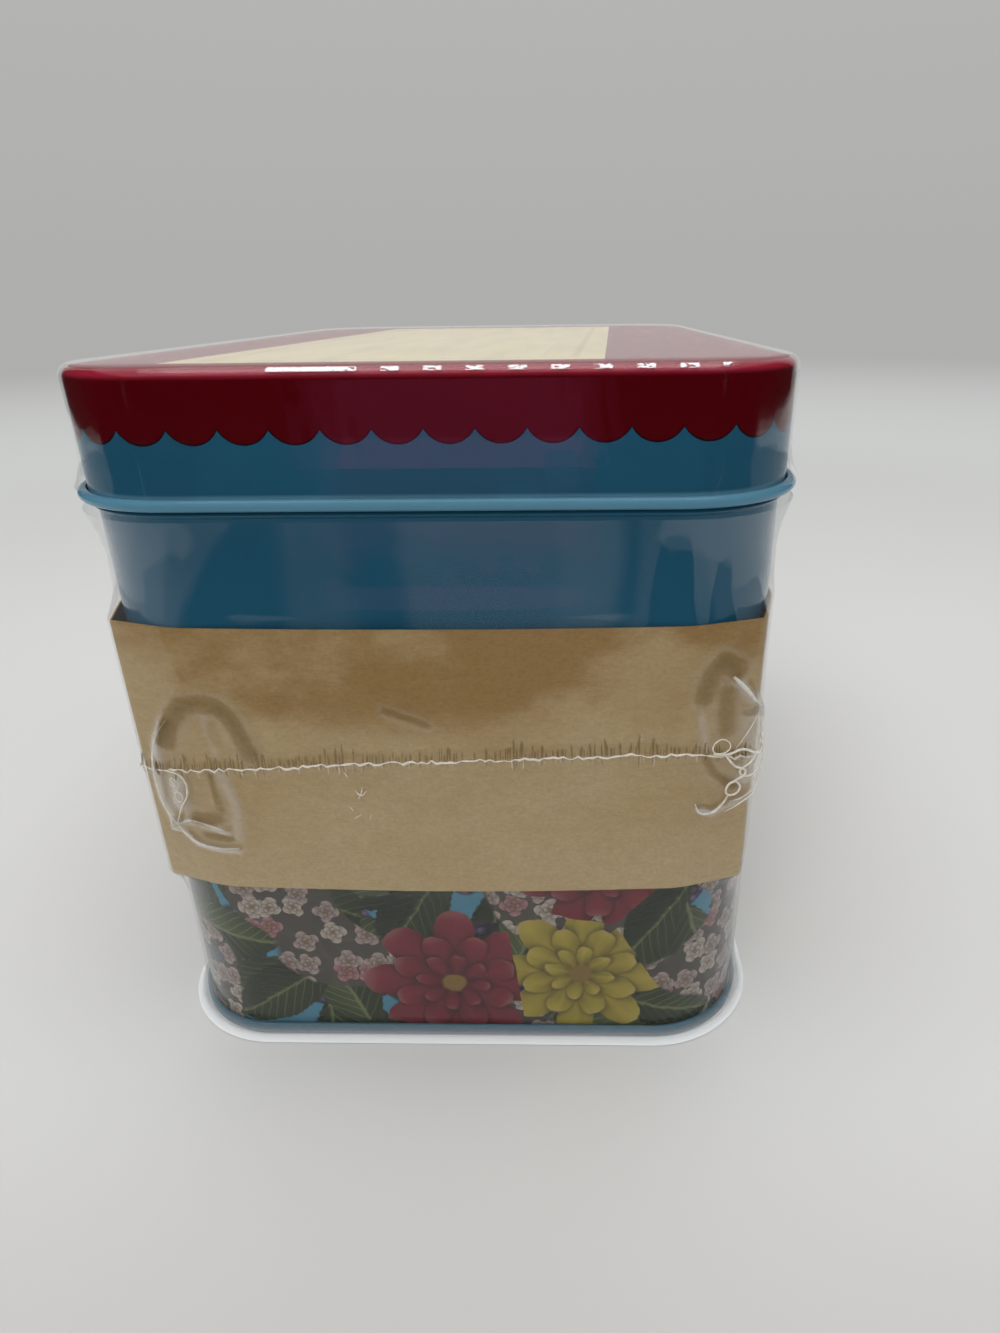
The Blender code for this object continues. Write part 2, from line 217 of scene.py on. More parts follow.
class Paint:
    """A material in the making: its shader and the patterns that feed it."""

    def __init__(self, name: str, roughness: float, metallic: float = 0.0, gloss: float = 0.5) -> None:
        """Makes the material.

        Args:
            name: the material's name.
            roughness: how matt it is, from 0 to 1.
            metallic: 1 for bare metal.
            gloss: how strongly it mirrors, with 0.5 for common plastic or paint.
        """
        self.material = bpy.data.materials.new(name)
        self.material.use_nodes = True
        self.tree = self.material.node_tree
        self.shader = self.tree.nodes["Principled BSDF"]
        self.shader.inputs["Roughness"].default_value = roughness
        self.shader.inputs["Metallic"].default_value = metallic
        self.shader.inputs["Specular IOR Level"].default_value = gloss

    def _split(self, socket: bpy.types.NodeSocket) -> tuple[Field, Field, Field]:
        """The three numbers of a vector.

        Args:
            socket: the vector.

        Returns:
            A field for each.
        """
        node = self.tree.nodes.new("ShaderNodeSeparateXYZ")
        self.tree.links.new(socket, node.inputs[0])
        return tuple(Field(self.tree, output) for output in node.outputs)

    def place(self) -> tuple[Field, Field, Field]:
        """The place on the object, in metres."""
        return self._split(self.tree.nodes.new("ShaderNodeTexCoord").outputs["Object"])

    def wrap(self) -> tuple[Field, Field]:
        """How far round the tin from the end face's middle, and how high, in metres."""
        return self._split(self.tree.nodes.new("ShaderNodeTexCoord").outputs["UV"])[:2]

    def attribute(self, name: str) -> Field:
        """A number kept on the mesh.

        Args:
            name: the attribute's name.

        Returns:
            The number as a field.
        """
        node = self.tree.nodes.new("ShaderNodeAttribute")
        node.attribute_name = name
        return Field(self.tree, node.outputs["Fac"])

    def vector(self, *parts: Term) -> bpy.types.NodeSocket:
        """A vector from up to three numbers.

        Args:
            parts: the numbers; those left out are 0.

        Returns:
            The vector's socket.
        """
        node = self.tree.nodes.new("ShaderNodeCombineXYZ")
        for socket, part in zip(node.inputs, parts):
            if isinstance(part, Field):
                self.tree.links.new(part.socket, socket)
            else:
                socket.default_value = part
        return node.outputs[0]

    def noise(self, *parts: Term, detail: float = 2.0, roughness: float = 0.5) -> Field:
        """Soft noise from 0 to 1 over coordinates that are given in its own grain.

        Args:
            parts: the coordinates, divided by the grain.
            detail: how many finer layers it has.
            roughness: how strong the finer layers are.

        Returns:
            The noise.
        """
        node = self.tree.nodes.new("ShaderNodeTexNoise")
        self.tree.links.new(self.vector(*parts), node.inputs["Vector"])
        node.inputs["Scale"].default_value = 1.0
        node.inputs["Detail"].default_value = detail
        node.inputs["Roughness"].default_value = roughness
        return Field(self.tree, node.outputs[0])

    def cell(self, across: Field, up: Field, scatter: float) -> Cell:
        """The nearest scattered point, a unit apart from the next.

        Args:
            across: the first coordinate, in units of the points' spacing.
            up: the second coordinate.
            scatter: 0 for a plain grid, 1 for full scatter.

        Returns:
            The point's cell.
        """
        node = self.tree.nodes.new("ShaderNodeTexVoronoi")
        node.voronoi_dimensions = "2D"
        self.tree.links.new(self.vector(across, up), node.inputs["Vector"])
        node.inputs["Scale"].default_value = 1.0
        node.inputs["Randomness"].default_value = scatter
        place = self._split(node.outputs["Position"])
        chances = self._split(node.outputs["Color"])
        apart = Field(self.tree, node.outputs["Distance"])
        return Cell(across - place[0], up - place[1], apart, chances)

    def ramp(self, amount: Field, stops: Stops, sharp: bool = False) -> bpy.types.NodeSocket:
        """A colour that follows a number.

        Args:
            amount: the number, from 0 to 1.
            stops: (number, colour) from low to high.
            sharp: True for plain steps.

        Returns:
            The colour.
        """
        node = self.tree.nodes.new("ShaderNodeValToRGB")
        node.color_ramp.interpolation = "CONSTANT" if sharp else "LINEAR"
        elements = node.color_ramp.elements
        while len(elements) < len(stops):
            elements.new(1.0)
        for element, (at, colour) in zip(elements, stops):
            element.position = at
            element.color = (*colour, 1.0)
        self.tree.links.new(amount.socket, node.inputs[0])
        return node.outputs["Color"]

    def _blend(self, kind: str, amount: Term, base: Tint, over: Tint) -> bpy.types.NodeSocket:
        """Lays one colour over another by a blend of the kind.

        Args:
            kind: the kind of blend.
            amount: the upper colour's share.
            base: the lower colour.
            over: the upper colour.

        Returns:
            The blended colour.
        """
        node = self.tree.nodes.new("ShaderNodeMix")
        node.data_type = "RGBA"
        node.blend_type = kind
        values = (amount.socket if isinstance(amount, Field) else amount, base, over)
        for socket, value in zip((node.inputs[0], node.inputs[6], node.inputs[7]), values):
            if isinstance(value, bpy.types.NodeSocket):
                self.tree.links.new(value, socket)
            elif isinstance(value, tuple):
                socket.default_value = (*value, 1.0)
            else:
                socket.default_value = value
        return node.outputs[2]

    def lay(self, amount: Term, base: Tint, over: Tint) -> bpy.types.NodeSocket:
        """Lays a colour over another where the amount is above 0."""
        return self._blend("MIX", amount, base, over)

    def shade(self, amount: Term, base: Tint, by: Tint) -> bpy.types.NodeSocket:
        """Multiplies a colour by another, as far as the amount says."""
        return self._blend("MULTIPLY", amount, base, by)

    def grey(self, amount: Field) -> bpy.types.NodeSocket:
        """A grey of that brightness."""
        return self.vector(amount, amount, amount)

    def set_colour(self, colour: Tint) -> None:
        """Gives the shader its base colour.

        Args:
            colour: a plain colour or a socket.
        """
        socket = self.shader.inputs["Base Color"]
        if isinstance(colour, tuple):
            socket.default_value = (*colour, 1.0)
        else:
            self.tree.links.new(colour, socket)

    def drive(self, name: str, amount: Term) -> None:
        """Feeds one of the shader's numbers.

        Args:
            name: the socket's name.
            amount: the number.
        """
        if isinstance(amount, Field):
            self.tree.links.new(amount.socket, self.shader.inputs[name])
        else:
            self.shader.inputs[name].default_value = amount

    def emboss(self, height: Field, depth: float, strength: float = 1.0) -> None:
        """Raises the surface's shading by a height field.

        Args:
            height: from 0 to 1.
            depth: how high 1 stands, in metres.
            strength: the share of it that shows.
        """
        node = self.tree.nodes.new("ShaderNodeBump")
        node.inputs["Distance"].default_value = depth
        node.inputs["Strength"].default_value = strength
        self.tree.links.new(height.socket, node.inputs["Height"])
        self.tree.links.new(node.outputs["Normal"], self.shader.inputs["Normal"])


@dataclass(frozen=True)
class Blossom:
    """A kind of blossom: spacing, petals in a ring, tints to choose among, and its points' own shift."""

    pitch: float
    petals: int
    tints: Stops
    shift: float


@dataclass(frozen=True)
class FloralPrint:
    """A garden print: leaves, berries and blossoms scattered over a light blue ground."""

    ground: Colour = (0.040, 0.14, 0.21)
    ground_light: Colour = (0.065, 0.185, 0.25)
    cloud_size: float = 0.01
    sway: float = 0.0011
    sway_size: float = 0.004
    low_leaves: tuple[float, ...] = (3.3,)
    high_leaves: tuple[float, ...] = (17.6, 29.1, 53.8)
    leaf_length: float = 0.024
    leaf_scatter: float = 0.8
    leaf_reach: float = 1.85
    leaf_half_width: float = 0.25
    leaf_taper: float = 0.12
    tooth_turns: float = 110.0
    tooth_depth: float = 0.005
    rib_half: float = 0.02
    veins: float = 11.0
    leaf_tones: Stops = (
        (0.0, (0.006, 0.010, 0.004)), (0.5, (0.020, 0.030, 0.011)), (1.0, (0.105, 0.125, 0.050)),
    )
    berry_pitch: float = 0.0023
    berry_scatter: float = 0.55
    berry_gap: Colour = (0.012, 0.012, 0.016)
    berry_tones: Stops = (
        (0.0, (0.006, 0.004, 0.010)), (0.45, (0.040, 0.027, 0.060)), (1.0, (0.15, 0.105, 0.17)),
    )
    floret: Blossom = Blossom(
        0.0052, 4, ((0.0, (0.18, 0.14, 0.125)), (0.5, (0.22, 0.19, 0.16)), (0.86, (0.17, 0.085, 0.085))), 8.4
    )
    floret_gap: Colour = (0.06, 0.05, 0.045)
    bold: Blossom = Blossom(
        0.031, 8,
        ((0.0, (0.098, 0.011, 0.017)), (0.45, (0.19, 0.150, 0.022)), (0.74, (0.18, 0.14, 0.125))), 12.7
    )
    bold_share: float = 0.80
    blossom_scatter: float = 0.72
    blossom_size: float = 0.44
    rings: tuple[Step, ...] = ((1.0, 0.0), (0.70, 0.5), (0.42, 0.15))
    petal_shadow: Colour = (0.18, 0.12, 0.12)
    petal_tip: Colour = (0.30, 0.26, 0.22)
    heart: Colour = (0.16, 0.10, 0.025)
    heart_radius: float = 0.075

    def colour(self, paint: Paint, across: Field, up: Field) -> bpy.types.NodeSocket:
        """The print's colour at a place.

        Args:
            paint: the material that it is for.
            across: the distance round the tin.
            up: the height.

        Returns:
            The colour.
        """
        size = self.sway_size
        sway = (paint.noise(across / size, up / size) - 0.5) * self.sway
        lift = (paint.noise(up / size, across / size, 3.0) - 0.5) * self.sway
        across, up = across + sway, up + lift
        cloud = paint.noise(across / self.cloud_size, up / self.cloud_size)
        colour = paint.lay(cloud, self.ground, self.ground_light)
        for shift in self.low_leaves:
            colour = self._leaves(paint, colour, across, up, shift)
        colour = self._berries(paint, colour, across, up)
        for shift in self.high_leaves:
            colour = self._leaves(paint, colour, across, up, shift)
        heads = paint.noise(across / 0.024 + 1.3, up / 0.020, detail=0.0).ease(0.47, 0.49)
        colour = paint.lay(heads * 0.8, colour, self.floret_gap)
        colour = self._blossoms(paint, colour, across, up, self.floret, heads)
        colour = self._blossoms(paint, colour, across, up, self.bold, self.bold_share)
        wear = paint.noise(across / size, up / size, detail=3.0)
        return paint.shade(0.3, colour, paint.grey(wear * 0.9 + 0.5))

    def _leaves(
        self, paint: Paint, base: Tint, across: Field, up: Field, shift: float
    ) -> bpy.types.NodeSocket:
        """Lays pointed leaves with a midrib and side veins, one to each scattered point.

        Args:
            paint: the material.
            base: the colour underneath.
            across: the distance round the tin.
            up: the height.
            shift: moves this layer's points away from the others'.

        Returns:
            The colour.
        """
        pitch = self.leaf_length
        cell = paint.cell(across / pitch + shift, up / pitch + shift, self.leaf_scatter)
        turn = cell.chances[0] * FULL_TURN
        along = cell.across * turn.cosine() + cell.up * turn.sine()
        aside = cell.up * turn.cosine() - cell.across * turn.sine()
        reach = along * self.leaf_reach
        teeth = (along * self.tooth_turns).sine() * self.tooth_depth
        width = (1.0 - reach * reach) * (self.leaf_half_width + along * self.leaf_taper) + teeth
        body = (width - abs(aside)).ease(0.0, 0.014)
        rib = (self.rib_half - abs(aside)).ease(0.0, 0.012)
        vein = ((along - abs(aside) * 1.1) * self.veins).fraction().ease(0.78, 0.97)
        half = aside.ease(-0.008, 0.008)
        light = cell.chances[1] * 0.42 + half * 0.22 + vein * 0.34 + rib * 0.4 + (width - abs(aside)) * 0.7
        return paint.lay(body, base, paint.ramp(light, self.leaf_tones))

    def _berries(self, paint: Paint, base: Tint, across: Field, up: Field) -> bpy.types.NodeSocket:
        """Lays bunches of small round berries where a broad noise is high.

        Args:
            paint: the material.
            base: the colour underneath.
            across: the distance round the tin.
            up: the height.

        Returns:
            The colour.
        """
        cell = paint.cell(across / self.berry_pitch, up / self.berry_pitch, self.berry_scatter)
        bunch = paint.noise(across / 0.016 + 4.7, up / 0.014, detail=1.0).ease(0.50, 0.53)
        rim = (0.50 - cell.apart).ease(0.0, 0.06)
        gleam = 1.0 - distance(cell.across + 0.14, cell.up - 0.16) * 1.9
        light = gleam * 0.75 + cell.chances[0] * 0.3
        dark = paint.lay(bunch * 0.9, base, self.berry_gap)
        return paint.lay(bunch * rim, dark, paint.ramp(light, self.berry_tones))

    def _blossoms(
        self, paint: Paint, base: Tint, across: Field, up: Field, kind: Blossom, share: Term
    ) -> bpy.types.NodeSocket:
        """Lays blossoms of three rings of petals, each with its own turn and tint.

        Args:
            paint: the material.
            base: the colour underneath.
            across: the distance round the tin.
            up: the height.
            kind: the blossoms' kind.
            share: how many of the scattered points carry one, or where they do.

        Returns:
            The colour.
        """
        shift_up = kind.shift * 0.7
        cell = paint.cell(
            across / kind.pitch + kind.shift, up / kind.pitch + shift_up, self.blossom_scatter
        )
        first, second, third = cell.chances
        shown = share if isinstance(share, Field) else (third + share - 1.0).ease(0.0, 0.01)
        tint = paint.ramp(second, kind.tints, sharp=True)
        ragged = (paint.noise(cell.across * 9.0, cell.up * 9.0, first * 20.0) - 0.5) * 0.07
        radius = distance(cell.across, cell.up) + ragged
        angle = cell.up.angle_to(cell.across) * (kind.petals / FULL_TURN) + first * kind.petals
        streak = paint.noise(angle * 5.0, radius * 6.0, first * 30.0, detail=3.0)
        size = first * 0.10 + self.blossom_size
        colour = base
        for ring, (scale, turn) in enumerate(self.rings):
            petal = abs((angle + turn).fraction() - 0.5)
            edge = (1.0 - petal.power(2.4) * 2.3) * size * scale
            if ring:
                under = (edge - radius + 0.05).ease(0.0, 0.07) * shown * 0.6
                colour = paint.shade(under, colour, self.petal_shadow)
            tip = radius / (size * scale)
            light = tip * 0.75 + streak * 0.5 - petal * 0.7 + 0.12
            toned = paint.shade(1.0, tint, paint.grey(light * 1.5))
            toned = paint.lay((tip - 0.82).ease(0.0, 0.3) * 0.3, toned, self.petal_tip)
            colour = paint.lay((edge - radius).ease(0.0, 0.012) * shown, colour, toned)
        heart = (self.heart_radius - radius).ease(0.0, 0.02) * shown
        return paint.lay(heart, colour, self.heart)


@dataclass(frozen=True)
class TinPrint:
    """The printed finishes of the tin: satin lacquer over flat colours."""

    blue: Colour = (0.013, 0.080, 0.138)
    # Painted highlight: the curl's blue, painted lighter than the skirt's blue.
    curl_highlight_blue: Colour = (0.080, 0.215, 0.305)
    foot_blue: Colour = (0.040, 0.110, 0.155)
    red: Colour = (0.066, 0.0002, 0.002)
    red_edge: Colour = (0.012, 0.001, 0.004)
    # Painted highlight: the red painted lighter along the lid's rounded top edge.
    edge_highlight_red: Colour = (0.26, 0.012, 0.03)
    top_red: Colour = (0.21, 0.005, 0.018)
    cream: Colour = (0.76, 0.64, 0.36)
    cream_streak: Colour = (0.56, 0.50, 0.30)
    rule_ink: Colour = (0.33, 0.22, 0.10)
    roughness: float = 0.06
    gloss: float = 0.3
    top_roughness: float = 0.35
    top_gloss: float = 0.15
    cloud_size: float = 0.02
    grain_size: float = 0.0005
    grain_depth: float = 0.000003
    scallops: int = 74
    scallop_start: float = 0.00104
    scallop_depth: float = 0.0020
    scallop_cusp: float = 0.1103
    scallop_line: float = 0.00032
    curl_top: float = 0.1018
    edge_start: float = 0.1165
    panel_turn: float = 0.05
    rule_pitch: float = 0.0065
    rule_inset: float = 0.008
    frame_inset: float = 0.0045
    frame_half: float = 0.0007
    print_top: float = 0.047

    def _dusty(self, paint: Paint, colour: Tint, across: Field, up: Field) -> bpy.types.NodeSocket:
        """Adds the faint unevenness of printed lacquer.

        Args:
            paint: the material.
            colour: the print's colour.
            across: the first coordinate.
            up: the second coordinate.

        Returns:
            The colour.
        """
        cloud = paint.noise(across / self.cloud_size, up / self.cloud_size, detail=3.0)
        grain = paint.noise(across / self.grain_size, up / self.grain_size, detail=1.0)
        paint.emboss(grain, self.grain_depth)
        paint.drive("Roughness", cloud * 0.06 + paint.shader.inputs["Roughness"].default_value)
        return paint.shade(0.35, colour, paint.grey(cloud * 0.6 + grain * 0.1 + 0.62))

    def wall(self, flowers: FloralPrint) -> bpy.types.Material:
        """The body: plain blue above, the garden print below.

        Args:
            flowers: the garden print.

        Returns:
            The material.
        """
        paint = Paint("body_print", self.roughness, gloss=self.gloss)
        across, up = paint.wrap()
        flowers_here = (self.print_top - up).ease(0.0, 0.0002)
        colour = paint.lay(flowers_here, self.blue, flowers.colour(paint, across, up))
        paint.set_colour(self._dusty(paint, colour, across, up))
        return paint.material

    def rim(self) -> bpy.types.Material:
        """The seamed bottom: plain light blue.

        Returns:
            The material.
        """
        paint = Paint("rim_lacquer", self.roughness, gloss=self.gloss)
        across, up = paint.wrap()
        paint.set_colour(self._dusty(paint, self.foot_blue, across, up))
        return paint.material

    def skirt(self, perimeter: float) -> bpy.types.Material:
        """The lid's side: a red band with a scalloped edge over blue, the red painted lighter along the top
        edge as a painted highlight, and the curl painted a lighter blue as a painted highlight.

        Args:
            perimeter: the way round the tin.

        Returns:
            The material.
        """
        paint = Paint("skirt_print", self.roughness, gloss=self.gloss)
        across, up = paint.wrap()
        part = ((across - self.scallop_start) / (perimeter / self.scallops)).fraction() * 2.0 - 1.0
        half_chord = perimeter / self.scallops / 2
        bow = (half_chord**2 + self.scallop_depth**2) / (2 * self.scallop_depth)
        x = part * (half_chord / bow)
        drop = ((1.0 - x * x).power(0.5) - (1 - (half_chord / bow) ** 2) ** 0.5) * bow
        below = self.scallop_cusp - up - drop
        # Painted highlight: the red is painted lighter along the lid's rounded top edge.
        red = paint.lay((up - self.edge_start).ease(0.0, 0.0008), self.red, self.edge_highlight_red)
        red = paint.lay((self.scallop_line + below).ease(0.0, 0.00022), red, self.red_edge)
        # Painted highlight: the curl is painted a lighter blue than the rest of the skirt's blue.
        blue = paint.lay((self.curl_top - up).ease(0.0, 0.0006), self.blue, self.curl_highlight_blue)
        colour = paint.lay(below.ease(0.0, 0.00008), red, blue)
        paint.set_colour(self._dusty(paint, colour, across, up))
        return paint.material

    def top(self, half_panel: Step, panel_y: float) -> bpy.types.Material:
        """The lid's top: a red ground with a cream panel, framed and ruled like a card.

        Args:
            half_panel: half the panel's length and width.
            panel_y: the panel's middle.

        Returns:
            The material.
        """
        paint = Paint("lid_top_print", self.top_roughness, gloss=self.top_gloss)
        x, y, _ = paint.place()
        turned = x * self.panel_turn + y
        inside = (half_panel[0] - abs(x)).least(half_panel[1] - abs(turned - panel_y))
        streaks = paint.noise(x / 0.03, y / 0.006, detail=4.0).ease(0.4, 0.7)
        cream = paint.lay(streaks * 0.6, self.cream, self.cream_streak)
        rules = abs((turned / self.rule_pitch).fraction() - 0.5).ease(0.46, 0.475)
        cream = paint.lay(rules * (inside - self.rule_inset).ease(0.0, 0.0002) * 0.16, cream, self.rule_ink)
        frame_line = (self.frame_half - abs(inside - self.frame_inset)).ease(0.0, 0.0002)
        cream = paint.lay(frame_line * 0.22, cream, self.top_red)
        colour = paint.lay(inside.ease(0.0, 0.00012), self.top_red, cream)
        paint.set_colour(self._dusty(paint, colour, x, y))
        return paint.material


@dataclass(frozen=True)
class BareMetal:
    """Metal with fine drawn lines along X."""

    colour: Colour
    roughness: float
    line_length: float = 0.02
    line_width: float = 0.0004
    cloud_size: float = 0.012
    line_depth: float = 0.00001

    def make(self, name: str) -> bpy.types.Material:
        """Makes the finish.

        Args:
            name: the material's name.

        Returns:
            The material.
        """
        paint = Paint(name, self.roughness, metallic=1.0)
        x, y, z = paint.place()
        lines = paint.noise(x / self.line_length, y / self.line_width, z / self.line_width, detail=3.0)
        cloud = paint.noise(x / self.cloud_size, y / self.cloud_size, z / self.cloud_size)
        paint.drive("Roughness", lines * 0.14 + cloud * 0.10 + (self.roughness - 0.12))
        paint.set_colour(paint.shade(0.5, self.colour, paint.grey(lines * 0.4 + cloud * 0.3 + 0.65)))
        paint.emboss(lines, self.line_depth)
        return paint.material


@dataclass(frozen=True)
class AgedPaper:
    """Tan paper with brown stains, soft clouds and short fibres."""

    tan: Colour = (0.335, 0.235, 0.105)
    pale: Colour = (0.385, 0.29, 0.155)
    stain: Colour = (0.235, 0.130, 0.035)
    speck: Colour = (0.20, 0.12, 0.05)
    roughness: float = 0.78
    stain_foot: float = 0.0605
    stain_half: float = 0.033
    pale_top: float = 0.052
    fibre_depth: float = 0.00004

    def make(self) -> bpy.types.Material:
        """Makes the band's paper.

        Returns:
            The material.
        """
        paint = Paint("band_paper", self.roughness)
        across, up = paint.wrap()
        cloud = paint.noise(across / 0.03, up / 0.022, detail=5.0, roughness=0.6)
        fibre = paint.noise(across / 0.0012, up / 0.0003, detail=3.0)
        grain = paint.noise(across / 0.0006, up / 0.0006, detail=3.0)
        colour = paint.lay(cloud.ease(0.30, 0.75), self.pale, self.tan)
        soak = paint.noise(across / 0.030 + 3.4, up / 0.022 + 1.7, detail=6.0, roughness=0.55)
        middle = (self.stain_half - abs(across - 0.001)).ease(0.0, 0.022)
        high = (up - 0.060).ease(0.0, 0.016) * (middle * 0.16 + 0.08)
        ring = (soak + high).ease(0.53, 0.72) * (up - self.stain_foot).ease(0.0, 0.010)
        colour = paint.lay(ring * 0.8, colour, self.stain)
        colour = paint.lay((self.pale_top - up).ease(0.0, 0.016) * 0.5, colour, self.pale)
        specks = paint.noise(across / 0.0011 + 9.0, up / 0.0011, detail=2.0).ease(0.70, 0.80)
        colour = paint.lay(specks * 0.35, colour, self.speck)
        fleck = paint.noise(across / 0.0025, up / 0.0014 + 4.0, detail=4.0, roughness=0.7)
        paint.set_colour(paint.shade(0.7, colour, paint.grey(fibre * 0.4 + grain * 0.5 + fleck * 0.5 + 0.3)))
        paint.emboss(fibre * 0.5 + grain * 0.5, self.fibre_depth)
        return paint.material


@dataclass(frozen=True)
class CardPrint:
    """Cream card with faint ruled lines and one red heading line on its faces."""

    card: Colour = (0.74, 0.68, 0.53)
    line: Colour = (0.25, 0.38, 0.46)
    heading: Colour = (0.40, 0.08, 0.07)
    age: Colour = (0.75, 0.6, 0.4)
    roughness: float = 0.75
    margin: float = 0.006
    line_pitch: float = 0.0064
    line_half: float = 0.00013
    heading_half: float = 0.00022
    heading_drop: float = 0.0135
    first_line: float = 0.003
    grain_size: float = 0.0005
    cloud_size: float = 0.03
    grain_depth: float = 0.00003

    def make(self, name: str, top: float, half_length: float) -> bpy.types.Material:
        """Makes the stock of a card.

        Args:
            name: the material's name.
            top: the height of the card's upper edge.
            half_length: half the card's length.

        Returns:
            The material.
        """
        paint = Paint(name, self.roughness)
        x, _, z = paint.place()
        down = top - z
        grain = paint.noise(x / self.grain_size, z / self.grain_size, detail=3.0)
        cloud = paint.noise(x / self.cloud_size, z / self.cloud_size, detail=3.0)
        within = (half_length - self.margin - abs(x)).ease(0.0, 0.0002)
        rows = (down - self.heading_drop) / self.line_pitch
        near = (0.5 - abs(rows.fraction() - 0.5)) * self.line_pitch
        under = (down - self.heading_drop - self.first_line).ease(0.0, 0.0001)
        ruled = (self.line_half - near).ease(-0.00003, 0.00005) * under
        colour = paint.lay(ruled * within * 0.7, self.card, self.line)
        head = (self.heading_half - abs(down - self.heading_drop)).ease(-0.00003, 0.00005)
        colour = paint.lay(head * within * 0.85, colour, self.heading)
        fresh = (down - 0.002).ease(0.0, 0.004)
        colour = paint.shade((1.0 - fresh) * 0.25, colour, self.age)
        paint.set_colour(paint.shade(0.4, colour, paint.grey(grain * 0.35 + cloud * 0.4 + 0.6)))
        paint.emboss(grain, self.grain_depth)
        return paint.material


@dataclass(frozen=True)
class DividerPrint:
    """Coloured board with small pale dots and a plain tab."""

    pale: Colour = (0.72, 0.68, 0.56)
    roughness: float = 0.6
    dot_pitch: float = 0.0055
    dot_radius: float = 0.0009
    dots_drop: float = 0.0035
    stripe_drop: float = 0.0022
    stripe_half: float = 0.0005
    grain_size: float = 0.0006
    grain_depth: float = 0.00003

    def make(self, name: str, board: Colour, card_top: float) -> bpy.types.Material:
        """Makes the board of a divider.

        Args:
            name: the material's name.
            board: its colour.
            card_top: the height of the board's shoulder, below the tab.

        Returns:
            The material.
        """
        paint = Paint(name, self.roughness)
        x, _, z = paint.place()
        grain = paint.noise(x / self.grain_size, z / self.grain_size, detail=3.0)
        row = z / self.dot_pitch
        column = x / self.dot_pitch + (row * 0.5).fraction().ease(0.499, 0.501) * 0.5
        dot = distance(column.fraction() - 0.5, row.fraction() - 0.5) * self.dot_pitch
        dots = (self.dot_radius - dot).ease(-0.00005, 0.0001)
        on_board = (card_top - self.dots_drop - z).ease(0.0, 0.0001)
        colour = paint.lay(dots * on_board * 0.8, board, self.pale)
        stripe = (self.stripe_half - abs(z - card_top + self.stripe_drop)).ease(-0.00005, 0.0001)
        colour = paint.lay(stripe * 0.8, colour, self.pale)
        paint.set_colour(paint.shade(0.4, colour, paint.grey(grain * 0.5 + 0.7)))
        paint.emboss(grain, self.grain_depth)
        return paint.material


@dataclass(frozen=True)
class Patch:
    """A spot where the film lies flat on the tin: place, half sizes, and how it leans and tapers."""

    across: float
    up: float
    half_width: float
    half_height: float
    lean: float = 0.0
    taper: float = 0.0


@dataclass(frozen=True)
class ReflectionStripe:
    """An upright light stripe painted in the film as a painted reflection: its middle, its half width and
    its strength.
    """

    middle: float
    half: float
    amount: float


